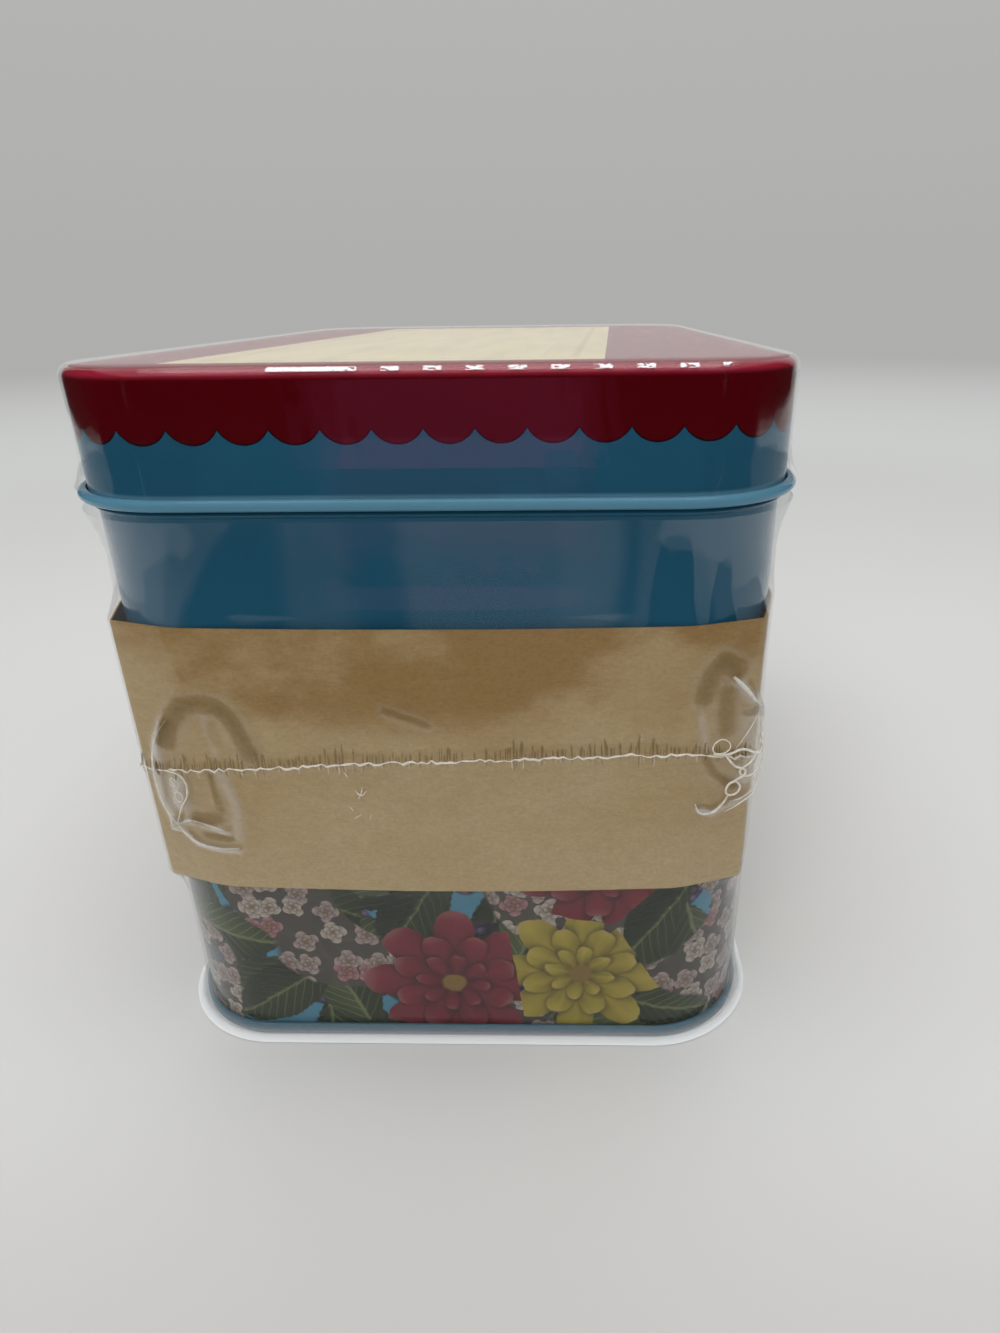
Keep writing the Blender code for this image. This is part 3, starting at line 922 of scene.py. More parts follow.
@dataclass(frozen=True)
class ClearFilm:
    """Thin clear film: it mirrors at a glance; it is milky where it stands off, partly a painted reflection;
    it is white at folds, partly a painted highlight; and it is painted darker where it clings and along
    wrinkles, as painted shade.
    """

    roughness: float = 0.05
    rolled_roughness: float = 0.12
    straight_on: float = 0.018
    glance: float = 0.50
    glance_power: float = 4.5
    lid_share: float = 0.5
    thickest: float = 0.94
    clear: Colour = (0.93, 0.95, 0.96)
    seal: Colour = (0.80, 0.74, 0.62)
    seal_light: Colour = (0.9, 0.87, 0.8)
    shadow: Colour = (0.10, 0.055, 0.015)
    ripple_depth: float = 0.0004
    streak_depth: float = 0.00002
    above_band: float = 0.0815
    below_scallops: float = 0.1095
    # Painted glints: where and how often the white dashes lie along the lid's top edge.
    lid_edge: float = 0.1178
    dash_pitch: float = 0.0055
    dash_ends: Step = (-0.0190, 0.0415)
    long_dash: Step = (-0.0138, 0.0052)
    body_patches: tuple[Patch, ...] = (
        Patch(-0.0010, 0.091, 0.0300, 0.013, lean=0.16, taper=0.14),
        Patch(0.0352, 0.0850, 0.0033, 0.0105, taper=0.4),
        Patch(0.0426, 0.0835, 0.0019, 0.0080, taper=0.4),
    )
    lid_patches: tuple[Patch, ...] = (
        Patch(0.0192, 0.1049, 0.0021, 0.0026),
        Patch(0.0137, 0.1009, 0.0031, 0.0022),
        Patch(0.0113, 0.1100, 0.0028, 0.0013),
        Patch(-0.0205, 0.105, 0.0095, 0.02),
        Patch(0.0310, 0.105, 0.0068, 0.02),
    )
    # Painted reflection: upright light stripes in the film over the body.
    reflection_stripes: tuple[ReflectionStripe, ...] = (
        ReflectionStripe(-0.0155, 0.0050, 0.010),
        ReflectionStripe(0.0080, 0.0115, 0.014),
        ReflectionStripe(0.0225, 0.0055, 0.017),
    )

    def _facing(self, paint: Paint) -> Field:
        """0 where the film is seen straight on, up to 1 at a glance.

        Args:
            paint: the film's material.

        Returns:
            The field.
        """
        facing = paint.tree.nodes.new("ShaderNodeLayerWeight")
        facing.inputs["Blend"].default_value = 0.5
        return Field(paint.tree, facing.outputs["Facing"]).power(self.glance_power)

    def _start(self, name: str) -> tuple[Paint, Field, Field, Field]:
        """Starts a film's material.

        Args:
            name: the material's name.

        Returns:
            The material, the distance round, the height, and how much it mirrors at a glance.
        """
        paint = Paint(name, self.roughness)
        across, up = paint.wrap()
        paint.emboss(paint.noise(across / 0.009, up / 0.016, detail=2.0), self.ripple_depth)
        return paint, across, up, self._facing(paint) * self.glance

    def _standing_off(self, paint: Paint, across: Field, up: Field, patches: Sequence[Patch]) -> Field:
        """Where the film stands off the tin.

        Args:
            paint: the film's material.
            across: the distance round the tin.
            up: the height.
            patches: the spots where it lies flat.

        Returns:
            0 where the film lies flat, 1 where it stands off.
        """
        sway = (paint.noise(across / 0.006, up / 0.009, detail=3.0) - 0.5) * 0.0016
        off = across * 0.0 + 1.0
        for patch in patches:
            rise = (up - patch.up) / patch.half_height
            aside = (across + sway - patch.across) / patch.half_width - rise * patch.lean
            aside = aside * (rise * patch.taper + 1.0)
            reach = (aside.power(4.0) + rise.power(4.0)).power(0.25)
            off = off * (reach - 1.0).ease(-0.01, 0.07)
        return off

    def _milk_and_reflection(self, paint: Paint, across: Field, up: Field) -> Field:
        """How milky the film is above the band: where it stands off, partly a painted reflection, and in
        upright stripes of painted reflection.

        Args:
            paint: the film's material.
            across: the distance round the tin.
            up: the height.

        Returns:
            The share that it hides.
        """
        # Partly painted reflection: the film is painted milky where it stands off the tin.
        off = self._standing_off(paint, across, up, self.body_patches)
        cloud = paint.noise(across / 0.012 + 5.0, up / 0.03, detail=1.0).ease(0.35, 0.65)
        milk_and_reflection = off * (cloud * 0.008 + 0.012)
        # Painted reflection: upright light stripes laid over the film's milkiness.
        sway = (paint.noise(across / 0.02, up / 0.011, 6.0, detail=1.0) - 0.5) * 0.003
        for reflection_stripe in self.reflection_stripes:
            inside = (reflection_stripe.half - abs(across + sway - reflection_stripe.middle)).ease(-0.002, 0.0022)
            milk_and_reflection = milk_and_reflection.most(inside * reflection_stripe.amount)
        return milk_and_reflection * (up - self.above_band).ease(0.0, 0.001)

    def on_body(self) -> bpy.types.Material:
        """The film round the body, with the crinkles along its seam, in painted shade and painted
        highlights.

        Returns:
            The material.
        """
        paint, across, up, glance = self._start("film_round_body")
        milk_and_reflection = self._milk_and_reflection(paint, across, up)
        # Painted shade: dark wrinkles and the darkness where the film clings. Painted highlights: light
        # wrinkles, and the white at folds, partly crushed film.
        dark, light = self._crinkles(paint, across, paint.attribute("over_seam"))
        shade = paint.attribute("cling_shade").most(dark)
        white = paint.attribute("fold").most(light)
        alpha = glance + white * 0.6 + milk_and_reflection + shade * 0.18 + self.straight_on
        paint.drive("Alpha", alpha.least(self.thickest))
        paint.drive("Metallic", (1.0 - white * 2.0 - shade * 4.0 - milk_and_reflection * 28.0).most(0.0))
        paint.set_colour(paint.lay(shade.ease(0.02, 0.4), self.clear, self.shadow))
        return paint.material

    def _crinkles(self, paint: Paint, across: Field, over: Field) -> tuple[Field, Field]:
        """Short wrinkles that run up and down from the seam: dark ones as painted shade, light ones as
        painted highlights.

        Args:
            paint: the film's material.
            across: the distance round the tin.
            over: the height over the seam.

        Returns:
            The painted shade of the dark wrinkles and the painted highlights of the light ones.
        """
        broad = paint.noise(across / 0.006, 1.7, detail=1.0).ease(0.45, 0.75) * 0.0024
        length = paint.noise(across / 0.0011, 9.0, detail=0.0).ease(0.25, 0.75) * (broad + 0.0019) + 0.0007
        fan = across + over * (paint.noise(across / 0.008, 5.0) - 0.5) * 0.4
        lines = paint.noise(fan / 0.00036, over / 0.01, 3.0, detail=0.0)
        upper = (length - over).ease(0.0, 0.0009) * over.ease(-0.0001, 0.0002)
        lower = (length * 0.8 + over).ease(0.0, 0.0012) * (0.0 - over).ease(-0.0001, 0.0002)
        dark = lines.ease(0.46, 0.58) * upper + lines.ease(0.50, 0.64) * lower * 0.5
        light = (1.0 - lines).ease(0.56, 0.70) * lower * 0.32 + (1.0 - lines).ease(0.60, 0.74) * upper * 0.12
        return dark, light

    def on_lid(self) -> bpy.types.Material:
        """The film over the lid, with white dashes painted along its edge as painted glints.

        Returns:
            The material.
        """
        paint, across, up, glance = self._start("film_over_lid")
        # Partly painted reflection: the film is painted milky where it stands off the lid, more below the
        # scallops.
        off = self._standing_off(paint, across, up, self.lid_patches)
        low = (self.below_scallops - up).ease(0.0, 0.0006) * 0.020 + 0.003
        # Painted glints: white dashes along the lid's top edge, less metallic and more opaque.
        glints = self._painted_glints(paint, across, up)
        alpha = glance * self.lid_share + glints * 0.75 + off * low + self.straight_on
        paint.drive("Alpha", alpha.least(self.thickest))
        paint.drive("Metallic", (1.0 - glints * 0.9).most(0.0))
        paint.set_colour(self.clear)
        return paint.material

    def _painted_glints(self, paint: Paint, across: Field, up: Field) -> Field:
        """Painted glints: white dashes along the edge of the lid's end, standing in for highlights.

        Args:
            paint: the film's material.
            across: the distance round the tin.
            up: the height.

        Returns:
            1 on a dash, 0 elsewhere.
        """
        start, end = self.dash_ends
        middle, half = self.long_dash
        edge = (0.00030 - abs(up - self.lid_edge)).ease(0.0, 0.00018)
        dash = (0.24 - abs((across / self.dash_pitch).fraction() - 0.5)).ease(0.0, 0.08)
        broken = paint.noise(across / 0.0009, up / 0.0003, detail=1.0).ease(0.42, 0.54)
        first = (half - abs(across - middle)).ease(0.0, 0.0004) * (broken * 0.3 + 0.7)
        within = (across - start).ease(0.0, 0.0005) * (end - across).ease(0.0, 0.0005)
        return (dash * broken).most(first) * edge * within

    def on_top(self) -> bpy.types.Material:
        """The film over the lid's top, with faint long streaks.

        Returns:
            The material.
        """
        paint = Paint("film_over_top", self.roughness)
        x, y, _ = paint.place()
        streaks = paint.noise(x / 0.03, y / 0.0012, detail=3.0)
        glance = self._facing(paint) * (streaks * 0.16 + self.glance - 0.20)
        paint.drive("Alpha", (glance + self.straight_on).least(self.thickest))
        paint.drive("Metallic", 1.0)
        paint.set_colour(self.clear)
        paint.emboss(streaks, self.streak_depth)
        return paint.material

    def rolled(self) -> bpy.types.Material:
        """Film rolled or welded into strings: milky and glossy.

        Returns:
            The material.
        """
        paint = Paint("film_rolled", self.rolled_roughness)
        x, y, z = paint.place()
        cloud = paint.noise(x / 0.0009, y / 0.0009, z / 0.0009, detail=2.0)
        paint.drive("Alpha", cloud * 0.5 + 0.35)
        paint.set_colour(paint.lay(cloud, self.seal, self.seal_light))
        return paint.material


def deselect_all() -> None:
    """Leaves nothing selected."""
    if bpy.context.mode != "OBJECT":
        bpy.ops.object.mode_set(mode="OBJECT")
    bpy.ops.object.select_all(action="DESELECT")


def select_only(piece: bpy.types.Object) -> None:
    """Selects one piece and makes it active.

    Args:
        piece: the piece.
    """
    deselect_all()
    piece.select_set(True)
    bpy.context.view_layer.objects.active = piece


def span(edge: bmesh.types.BMEdge, axis: int) -> float:
    """How far an edge runs along an axis."""
    return abs(edge.verts[0].co[axis] - edge.verts[1].co[axis])


def upright(edge: bmesh.types.BMEdge) -> bool:
    """Whether an edge of a unit-high sleeve is upright."""
    return span(edge, 2) > 0.5


def select_edges(piece: bpy.types.Object, test: Callable[[bmesh.types.BMEdge], bool]) -> None:
    """Selects the edges of the piece in edit mode that pass a test.

    Args:
        piece: the piece.
        test: says whether one is taken.
    """
    bpy.ops.mesh.select_mode(type="EDGE")
    bpy.ops.mesh.select_all(action="DESELECT")
    mesh = bmesh.from_edit_mesh(piece.data)
    for edge in mesh.edges:
        edge.select_set(test(edge))
    bmesh.update_edit_mesh(piece.data)


def select_faces(piece: bpy.types.Object, test: Callable[[bmesh.types.BMFace], bool]) -> None:
    """Selects the faces of the piece in edit mode that pass a test.

    Args:
        piece: the piece.
        test: says whether one is taken.
    """
    bpy.ops.mesh.select_mode(type="FACE")
    bpy.ops.mesh.select_all(action="DESELECT")
    mesh = bmesh.from_edit_mesh(piece.data)
    for face in mesh.faces:
        face.select_set(test(face))
    bmesh.update_edit_mesh(piece.data)


def apply_modifiers(piece: bpy.types.Object) -> None:
    """Applies all of a piece's modifiers.

    Args:
        piece: the piece.
    """
    select_only(piece)
    for modifier in list(piece.modifiers):
        bpy.ops.object.modifier_apply(modifier=modifier.name)


def thicken(piece: bpy.types.Object, thickness: float, inner: int = 0) -> None:
    """Gives an open skin its sheet, half on each side.

    Args:
        piece: the skin.
        thickness: the sheet's thickness.
        inner: how many material slots further the inner side lies.
    """
    sheet = piece.modifiers.new("sheet", "SOLIDIFY")
    sheet.thickness = thickness
    sheet.offset = 0.0
    sheet.use_even_offset = True
    sheet.material_offset = inner
    sheet.material_offset_rim = 0
    apply_modifiers(piece)


def smooth(piece: bpy.types.Object, degrees: float = 35.0) -> None:
    """Shades a piece smooth up to an angle."""
    select_only(piece)
    bpy.ops.object.shade_smooth_by_angle(angle=math.radians(degrees))


def settle(piece: bpy.types.Object, body: Body, slot: Slot, *nodes: str) -> bpy.types.Object:
    """Puts a finished piece on its body in place of the plain ones.

    Args:
        piece: the piece.
        body: what it moves with.
        slot: the record's finish; not used.
        nodes: the plain pieces that it stands for.

    Returns:
        The piece.
    """
    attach(piece, body.value)
    if nodes:
        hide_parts(*nodes)
    LOG.info("%s: %d faces", piece.name, len(piece.data.polygons))
    return piece


def arc(centre: Step, radius: float, start: float, end: float, steps: int) -> list[Step]:
    """(offset, height) along an arc, both ends included.

    Args:
        centre: the arc's centre.
        radius: its radius.
        start: where it starts, in degrees.
        end: where it ends, in degrees.
        steps: how many steps it takes.

    Returns:
        The points.
    """
    turns = [math.radians(start + (end - start) * step / steps) for step in range(steps + 1)]
    return [(centre[0] + radius * math.cos(turn), centre[1] + radius * math.sin(turn)) for turn in turns]


def spread(low: float, high: float, steps: int) -> list[float]:
    """Evenly spaced values from low up to, and without, high."""
    return [low + (high - low) * step / steps for step in range(steps)]


@dataclass(frozen=True)
class Outline:
    """The tin's rounded outline, as half sizes and a corner radius."""

    half_length: float
    half_width: float
    corner: float = 0.0172

    @property
    def flat_x(self) -> float:
        """Half the straight part of a long side."""
        return self.half_length - self.corner

    @property
    def flat_y(self) -> float:
        """Half the straight part of an end."""
        return self.half_width - self.corner

    @property
    def perimeter(self) -> float:
        """The way round the tin."""
        return 4 * (self.flat_x + self.flat_y) + FULL_TURN * self.corner

    @property
    def fold(self) -> float:
        """How far round from an end's middle the corner's fold lies."""
        return self.flat_y + self.corner * math.pi / 4

    def along(self, places: np.ndarray) -> np.ndarray:
        """How far round each place lies, from the +X end's middle towards the hinge.

        Args:
            places: points on the outline.

        Returns:
            The distances, from -3/4 to 1/4 of the perimeter.
        """
        x, y = np.abs(places[:, 0]), np.abs(places[:, 1])
        turn = np.arctan2(np.maximum(y - self.flat_y, 0.0), np.maximum(x - self.flat_x, 1e-9))
        in_corner = (x > self.flat_x) & (y > self.flat_y)
        on_side = self.flat_y + self.corner * math.pi / 2 + self.flat_x - x
        way = np.where(in_corner, self.flat_y + self.corner * turn, np.where(x > self.flat_x, y, on_side))
        way = np.where(places[:, 0] < 0, self.perimeter / 2 - way, way)
        way = np.where(places[:, 1] < 0, -way, way)
        return np.where(way > self.perimeter / 4 + 1e-9, way - self.perimeter, way)

    def offset(self, x: float, y: float) -> float:
        """How far a place lies outside the outline; negative inside.

        Args:
            x: the place along the long side.
            y: the place along the short side.

        Returns:
            The distance.
        """
        x, y = abs(x) - self.flat_x, abs(y) - self.flat_y
        if x > 0 and y > 0:
            return math.hypot(x, y) - self.corner
        return max(x, y) - self.corner

    def at(self, along: float) -> tuple[Vector, Vector]:
        """The point a distance round the tin from the +X end's middle, and the way out from it.

        Args:
            along: the distance.

        Returns:
            The point and the direction.
        """
        half = self.perimeter / 2
        way = (along + half) % (2 * half) - half
        side_y = math.copysign(1.0, way)
        way = abs(way)
        side_x = -1.0 if way > half / 2 else 1.0
        way = half - way if way > half / 2 else way
        turn = min(max((way - self.flat_y) / self.corner, 0.0), math.pi / 2)
        past = max(way - self.flat_y - self.corner * math.pi / 2, 0.0)
        out = Vector((math.cos(turn), math.sin(turn)))
        spot = Vector((self.flat_x - past, min(way, self.flat_y))) + out * self.corner
        return Vector((spot.x * side_x, spot.y * side_y)), Vector((out.x * side_x, out.y * side_y))

    def outwards(self, places: np.ndarray) -> np.ndarray:
        """The outward direction at each place, level with the ground.

        Args:
            places: places near the outline.

        Returns:
            A unit direction for each.
        """
        x = np.sign(places[:, 0]) * np.maximum(np.abs(places[:, 0]) - self.flat_x, 0.0)
        y = np.sign(places[:, 1]) * np.maximum(np.abs(places[:, 1]) - self.flat_y, 0.0)
        on_end = np.abs(places[:, 0]) >= self.half_length - 1e-7
        on_side = np.abs(places[:, 1]) >= self.half_width - 1e-7
        x, y = np.where(on_side, 0.0, x), np.where(on_end, 0.0, y)
        length = np.hypot(x, y)
        return np.stack([x / length, y / length, np.zeros_like(x)], 1)

    def _from_end(self, along: np.ndarray) -> np.ndarray:
        """How far each distance round the tin lies from the middle of the nearer end."""
        return np.abs((np.abs(along) + self.perimeter / 4) % (self.perimeter / 2) - self.perimeter / 4)

    def crease(self, along: np.ndarray, offset: Union[float, np.ndarray], depth: np.ndarray) -> np.ndarray:
        """How far a folded sleeve stands out from the rounded corners.

        Args:
            along: distances round the tin.
            offset: the sleeve's distance from the wall, one or one at each place.
            depth: how far the fold itself stands out, at each place.

        Returns:
            The distances outwards.
        """
        phi = np.abs(self._from_end(along) - self.fold) / self.corner
        radius = self.corner + offset
        leave = np.arccos(radius / (radius + depth))
        return radius / np.cos(np.maximum(leave - phi, 0.0)) - radius

    def bow(self, along: np.ndarray) -> np.ndarray:
        """1 in the middle of each flat side, falling to 0 where its corners begin.

        Args:
            along: distances round the tin.

        Returns:
            A share for each distance.
        """
        end = self._from_end(along)
        on_end = np.clip(1 - (end / self.flat_y) ** 2, 0, 1)
        side = np.abs(end - self.perimeter / 4)
        return np.where(end < self.flat_y, on_end, np.clip(1 - (side / self.flat_x) ** 2, 0, 1))


@dataclass
class RoundedTube:
    """An open sleeve round the tin, whose rings follow a profile of (offset, height)."""

    name: str
    outline: Outline
    profile: Sequence[Step]
    corner_steps: int = 16
    end_cuts: int = 5
    side_cuts: int = 7

    def build(self, warp: Optional[Warp] = None) -> bpy.types.Object:
        """Models the sleeve.

        Args:
            warp: moves points outwards, from (distance round, height).

        Returns:
            The piece, with a UV map of distance round and height.
        """
        piece = self._blank()
        count = len(piece.data.vertices)
        places = np.zeros(count * 3)
        piece.data.vertices.foreach_get("co", places)
        places = places.reshape(-1, 3)
        rows = np.rint((places[:, 2] + 0.5) * (len(self.profile) - 1)).astype(int)
        steps = np.array(self.profile)
        outwards = self.outline.outwards(places)
        along = self.outline.along(places)
        height = steps[rows, 1]
        reach = steps[rows, 0]
        if warp is not None:
            reach = reach + warp(along, height)
        places[:, 2] = height
        places += outwards * reach[:, None]
        piece.data.vertices.foreach_set("co", places.ravel())
        self._unwrap(piece, along, height)
        if self.profile[0][1] > self.profile[-1][1]:
            piece.data.flip_normals()
        piece.data.update()
        return piece

    def _blank(self) -> bpy.types.Object:
        """A straight sleeve of the outline, a unit high, with a ring for each step of the profile.

        Returns:
            The sleeve.
        """
        deselect_all()
        size = (2 * self.outline.half_length, 2 * self.outline.half_width, 1.0)
        bpy.ops.mesh.primitive_cube_add(size=1.0)
        piece = bpy.context.object
        piece.name = self.name
        piece.data.name = self.name
        piece.scale = size
        bpy.ops.object.transform_apply(location=False, rotation=False, scale=True)
        bpy.ops.object.mode_set(mode="EDIT")
        select_edges(piece, upright)
        bpy.ops.mesh.bevel(
            offset=self.outline.corner, segments=self.corner_steps, profile=0.5, affect="EDGES"
        )
        select_faces(piece, lambda face: abs(face.normal.z) > 0.5)
        bpy.ops.mesh.delete(type="ONLY_FACE")
        for axis, cuts in ((1, self.end_cuts), (0, self.side_cuts)):
            flat = 1.9 * (self.outline.flat_y if axis else self.outline.flat_x)
            select_edges(piece, lambda edge: span(edge, axis) > flat)
            bpy.ops.mesh.subdivide(number_cuts=cuts)
        select_edges(piece, upright)
        if len(self.profile) > 2:
            bpy.ops.mesh.subdivide(number_cuts=len(self.profile) - 2)
        bpy.ops.object.mode_set(mode="OBJECT")
        return piece

    def _unwrap(self, piece: bpy.types.Object, along: np.ndarray, height: np.ndarray) -> None:
        """Lays the distances round and the heights into a UV map, closed at the tin's back.

        Args:
            piece: the piece.
            along: the distance round for each vertex.
            height: the height for each vertex.
        """
        while piece.data.uv_layers:
            piece.data.uv_layers.remove(piece.data.uv_layers[0])
        layer = piece.data.uv_layers.new(name="wrap")
        corners = np.zeros(len(piece.data.loops), dtype=int)
        piece.data.loops.foreach_get("vertex_index", corners)
        across = along[corners].reshape(-1, 4)
        wide = across.max(1) - across.min(1) > self.outline.perimeter / 2
        across[wide] = np.where(across[wide] > 0, across[wide] - self.outline.perimeter, across[wide])
        layer.data.foreach_set("uv", np.stack([across.ravel(), height[corners]], 1).ravel())


def cap_ring(piece: bpy.types.Object, height: float, inset: float = 0.0) -> None:
    """Closes the open ring of a sleeve that lies at a height.

    Args:
        piece: the sleeve.
        height: the ring's height.
        inset: the width of a border left round the closed face.
    """
    select_only(piece)
    bpy.ops.object.mode_set(mode="EDIT")
    select_edges(
        piece,
        lambda edge: edge.is_boundary and all(abs(end.co.z - height) < SAME for end in edge.verts),
    )
    bpy.ops.mesh.edge_face_add()
    if inset:
        bpy.ops.mesh.inset(thickness=inset)
    bpy.ops.mesh.poke()
    bpy.ops.object.mode_set(mode="OBJECT")


def dress(piece: bpy.types.Object, finishes: Sequence[bpy.types.Material]) -> None:
    """Gives a piece its finishes, in place of any it has.

    Args:
        piece: the piece.
        finishes: the materials, in the order of their slots.
    """
    piece.data.materials.clear()
    for finish in finishes:
        piece.data.materials.append(finish)


@dataclass
class TinBody:
    """The drawn wall with its stop bead and rolled-in edge, and the seamed bottom."""

    outline: Outline
    sheet: float = 0.00025
    gap: float = 0.0003
    bead_depth: float = 0.0007
    bead_half: float = 0.0007
    bead_height: float = 0.09875
    neck_top: float = 0.10985
    hem: float = 0.0005
    rim_height: float = 0.0025
    rim_thickness: float = 0.00075
    rim_round: float = 0.0003
    floor: float = 0.003

    def wall_profile(self) -> list[Step]:
        """The middle of the sheet from its foot, over the bead, to the rolled-in edge.

        Returns:
            Pairs of a distance outwards and a height.
        """
        middle = -self.sheet / 2
        hem_centre = (middle - self.hem, self.neck_top - self.hem)
        swell = [
            (middle + self.bead_depth * 0.5 * (1 - math.cos(FULL_TURN * step / 10)),
             self.bead_height + self.bead_half * (step / 5 - 1))
            for step in range(11)
        ]
        low = spread(2 * self.gap, self.bead_height - self.bead_half, 6)
        return [(middle, height) for height in low] + swell + arc(hem_centre, self.hem, 0, 240, 10)

    def build_wall(self, prints: TinPrint, flowers: FloralPrint, inside: bpy.types.Material) -> None:
        """Models and dresses the wall.

        Args:
            prints: the tin's prints.
            flowers: the floral print.
            inside: the finish of the inside.
        """
        wall = RoundedTube("printed_wall", self.outline, self.wall_profile()).build()
        dress(wall, (prints.wall(flowers), inside))
        thicken(wall, self.sheet, inner=1)
        smooth(wall)
        settle(wall, Body.TIN, Slot.BODY_TIN, "body_wall")

    def bottom_profile(self) -> list[Step]:
        """The panel's edge, the channel round the wall's foot and the rolled seam.

        Returns:
            Pairs of a distance outwards and a height.
        """
        channel = -self.sheet - self.gap
        out = self.gap + self.rim_thickness
        turn = self.rim_round
        top = self.rim_height - turn
        return [
            (channel - 0.006, self.floor),
            (channel - 0.0004, self.floor),
            *arc((channel - 0.0004, self.floor - 0.0004), 0.0004, 90, 0, 4),
            (channel, self.gap),
            (self.gap, self.gap),
            (self.gap, top),
            *arc((self.gap + turn, top), turn, 180, 90, 3),
            *arc((out - turn, top), turn, 90, 0, 5),
            *arc((out - turn, turn), turn, 0, -90, 5),
            *arc((channel - self.sheet + turn, turn), turn, -90, -180, 4),
            (channel - self.sheet, self.floor - self.sheet),
            (channel - 0.006, self.floor - self.sheet),
        ]

    def build_bottom(self, prints: TinPrint, inside: bpy.types.Material) -> None:
        """Models and dresses the bottom.

        Args:
            prints: the tin's prints.
            inside: the finish of the inside.
        """
        profile = self.bottom_profile()
        bottom = RoundedTube("seamed_bottom", self.outline, profile).build()
        cap_ring(bottom, profile[0][1], inset=0.006)
        cap_ring(bottom, profile[-1][1], inset=0.006)
        dress(bottom, (prints.rim(), inside))
        for face in bottom.data.polygons:
            face.material_index = 0 if self.outline.offset(face.center[0], face.center[1]) > 0 else 1
        smooth(bottom)
        settle(bottom, Body.TIN, Slot.BODY_TIN, "bottom_end")


@dataclass
class HingedLid:
    """The lid: flat top, rounded edge, short skirt and the outward curl that holds the wire."""

    outline: Outline
    top: float
    curl_height: float
    sheet: float = 0.00025
    clearance: float = 0.0006
    edge_radius: float = 0.0015
    curl_radius: float = 0.000775
    curl_opening: float = 0.0002
    notch_width: float = 0.009
    notch_height: float = 0.0015
    ear_spacing: float = 0.09
    half_panel: Step = (0.0715, 0.032)
    panel_y: float = -0.003

    @property
    def middle(self) -> float:
        """The offset of the middle of the skirt's sheet."""
        return self.clearance + self.sheet / 2

    def profile(self) -> list[Step]:
        """The middle of the sheet from the top's border down into the curl.

        Returns:
            Pairs of a distance outwards and a height.
        """
        radius = self.edge_radius - self.sheet / 2
        edge = (self.middle - radius, self.top - self.edge_radius)
        curl = (self.middle + self.curl_radius, self.curl_height)
        opening = self.curl_opening + self.sheet - self.curl_radius
        closing = 360 + math.degrees(math.acos(opening / self.curl_radius))
        skirt = [(self.middle, height) for height in spread(edge[1], curl[1], 5)[1:]]
        return [(edge[0] - 0.008, self.top - self.sheet / 2), *arc(edge, radius, 90, 0, 7), *skirt,
                *arc(curl, self.curl_radius, 180, closing, 18)]

    def build(self, prints: TinPrint, inside: bpy.types.Material) -> None:
        """Models and dresses the lid.

        Args:
            prints: the tin's prints.
            inside: the finish of the inside.
        """
        lid = RoundedTube("printed_lid", self.outline, self.profile(), side_cuts=9).build()
        cap_ring(lid, self.top - self.sheet / 2, inset=0.006)
        over = prints.top(self.half_panel, self.panel_y)
        dress(lid, (prints.skirt(self.outline.perimeter), over, inside, inside))
        for face in lid.data.polygons:
            face.material_index = 1 if face.center[2] > self.top - 0.0002 else 0
        thicken(lid, self.sheet, inner=2)
        for face in lid.data.polygons:
            if face.center[2] < self.curl_height + self.curl_radius + self.sheet:
                face.material_index = 0
        for side in (-1, 1):
            self._cut_notch(lid, side * self.ear_spacing / 2)
        smooth(lid)
        settle(lid, Body.LID, Slot.LID_TIN, "lid_shell")

    def _cut_notch(self, lid: bpy.types.Object, place_x: float) -> None:
        """Cuts the rear curl away where an ear holds the wire.

        Args:
            lid: the lid.
            place_x: the ear's place along the side.
        """
        reach = self.curl_radius + self.sheet
        low, high = self.curl_height - 2 * reach, self.curl_height + self.notch_height
        deselect_all()
        place = (place_x, self.outline.half_width + self.middle + self.curl_radius, (low + high) / 2)
        bpy.ops.mesh.primitive_cube_add(size=1.0, location=place)
        cutter = bpy.context.object
        cutter.scale = (self.notch_width, 2 * reach + 2 * self.sheet, high - low)
        notch = lid.modifiers.new("notch", "BOOLEAN")
        notch.operation = "DIFFERENCE"
        notch.object = cutter
        bpy.context.view_layer.update()
        apply_modifiers(lid)
        bpy.data.objects.remove(cutter)


@dataclass
class BellyBand:
    """The paper sleeve: folded at the corners, bowed on the flats, lapped at the back."""

    outline: Outline
    foot: float
    top: float
    gap: float = 0.0003
    paper: float = 0.00025
    fold: float = 0.0022
    bow_depth: float = 0.0009
    lap: float = 0.016

    def warp(self, along: np.ndarray, height: np.ndarray) -> np.ndarray:
        """The folds, the bow and the slight waviness of the paper.

        Args:
            along: distances round the tin.
            height: heights.

        Returns:
            How far the paper lies off its profile at each.
        """
        out = self.outline.crease(along, self.gap, np.full_like(along, self.fold))
        out = out + self.outline.bow(along) * self.bow_depth
        wave = np.sin(along * 61.0 + 1.3) * np.sin(along * 23.0 + height * 40.0) * 0.00012
        lapped = np.abs(along - self.outline.perimeter / 4 + 0.02) < self.lap / 2
        return out + np.abs(wave) + np.where(lapped, 1.2 * self.paper, 0.0)

    def build(self) -> None:
        """Models and dresses the band."""
        middle = self.gap + self.paper / 2
        rows = [(middle, height) for height in [*spread(self.foot, self.top, 10), self.top]]
        band = RoundedTube("belly_band", self.outline, rows, end_cuts=27, side_cuts=61).build(self.warp)
        dress(band, (AgedPaper().make(),))
        thicken(band, self.paper)
        smooth(band, 40.0)
        settle(band, Body.TIN, Slot.BAND_PAPER, "paper_band")


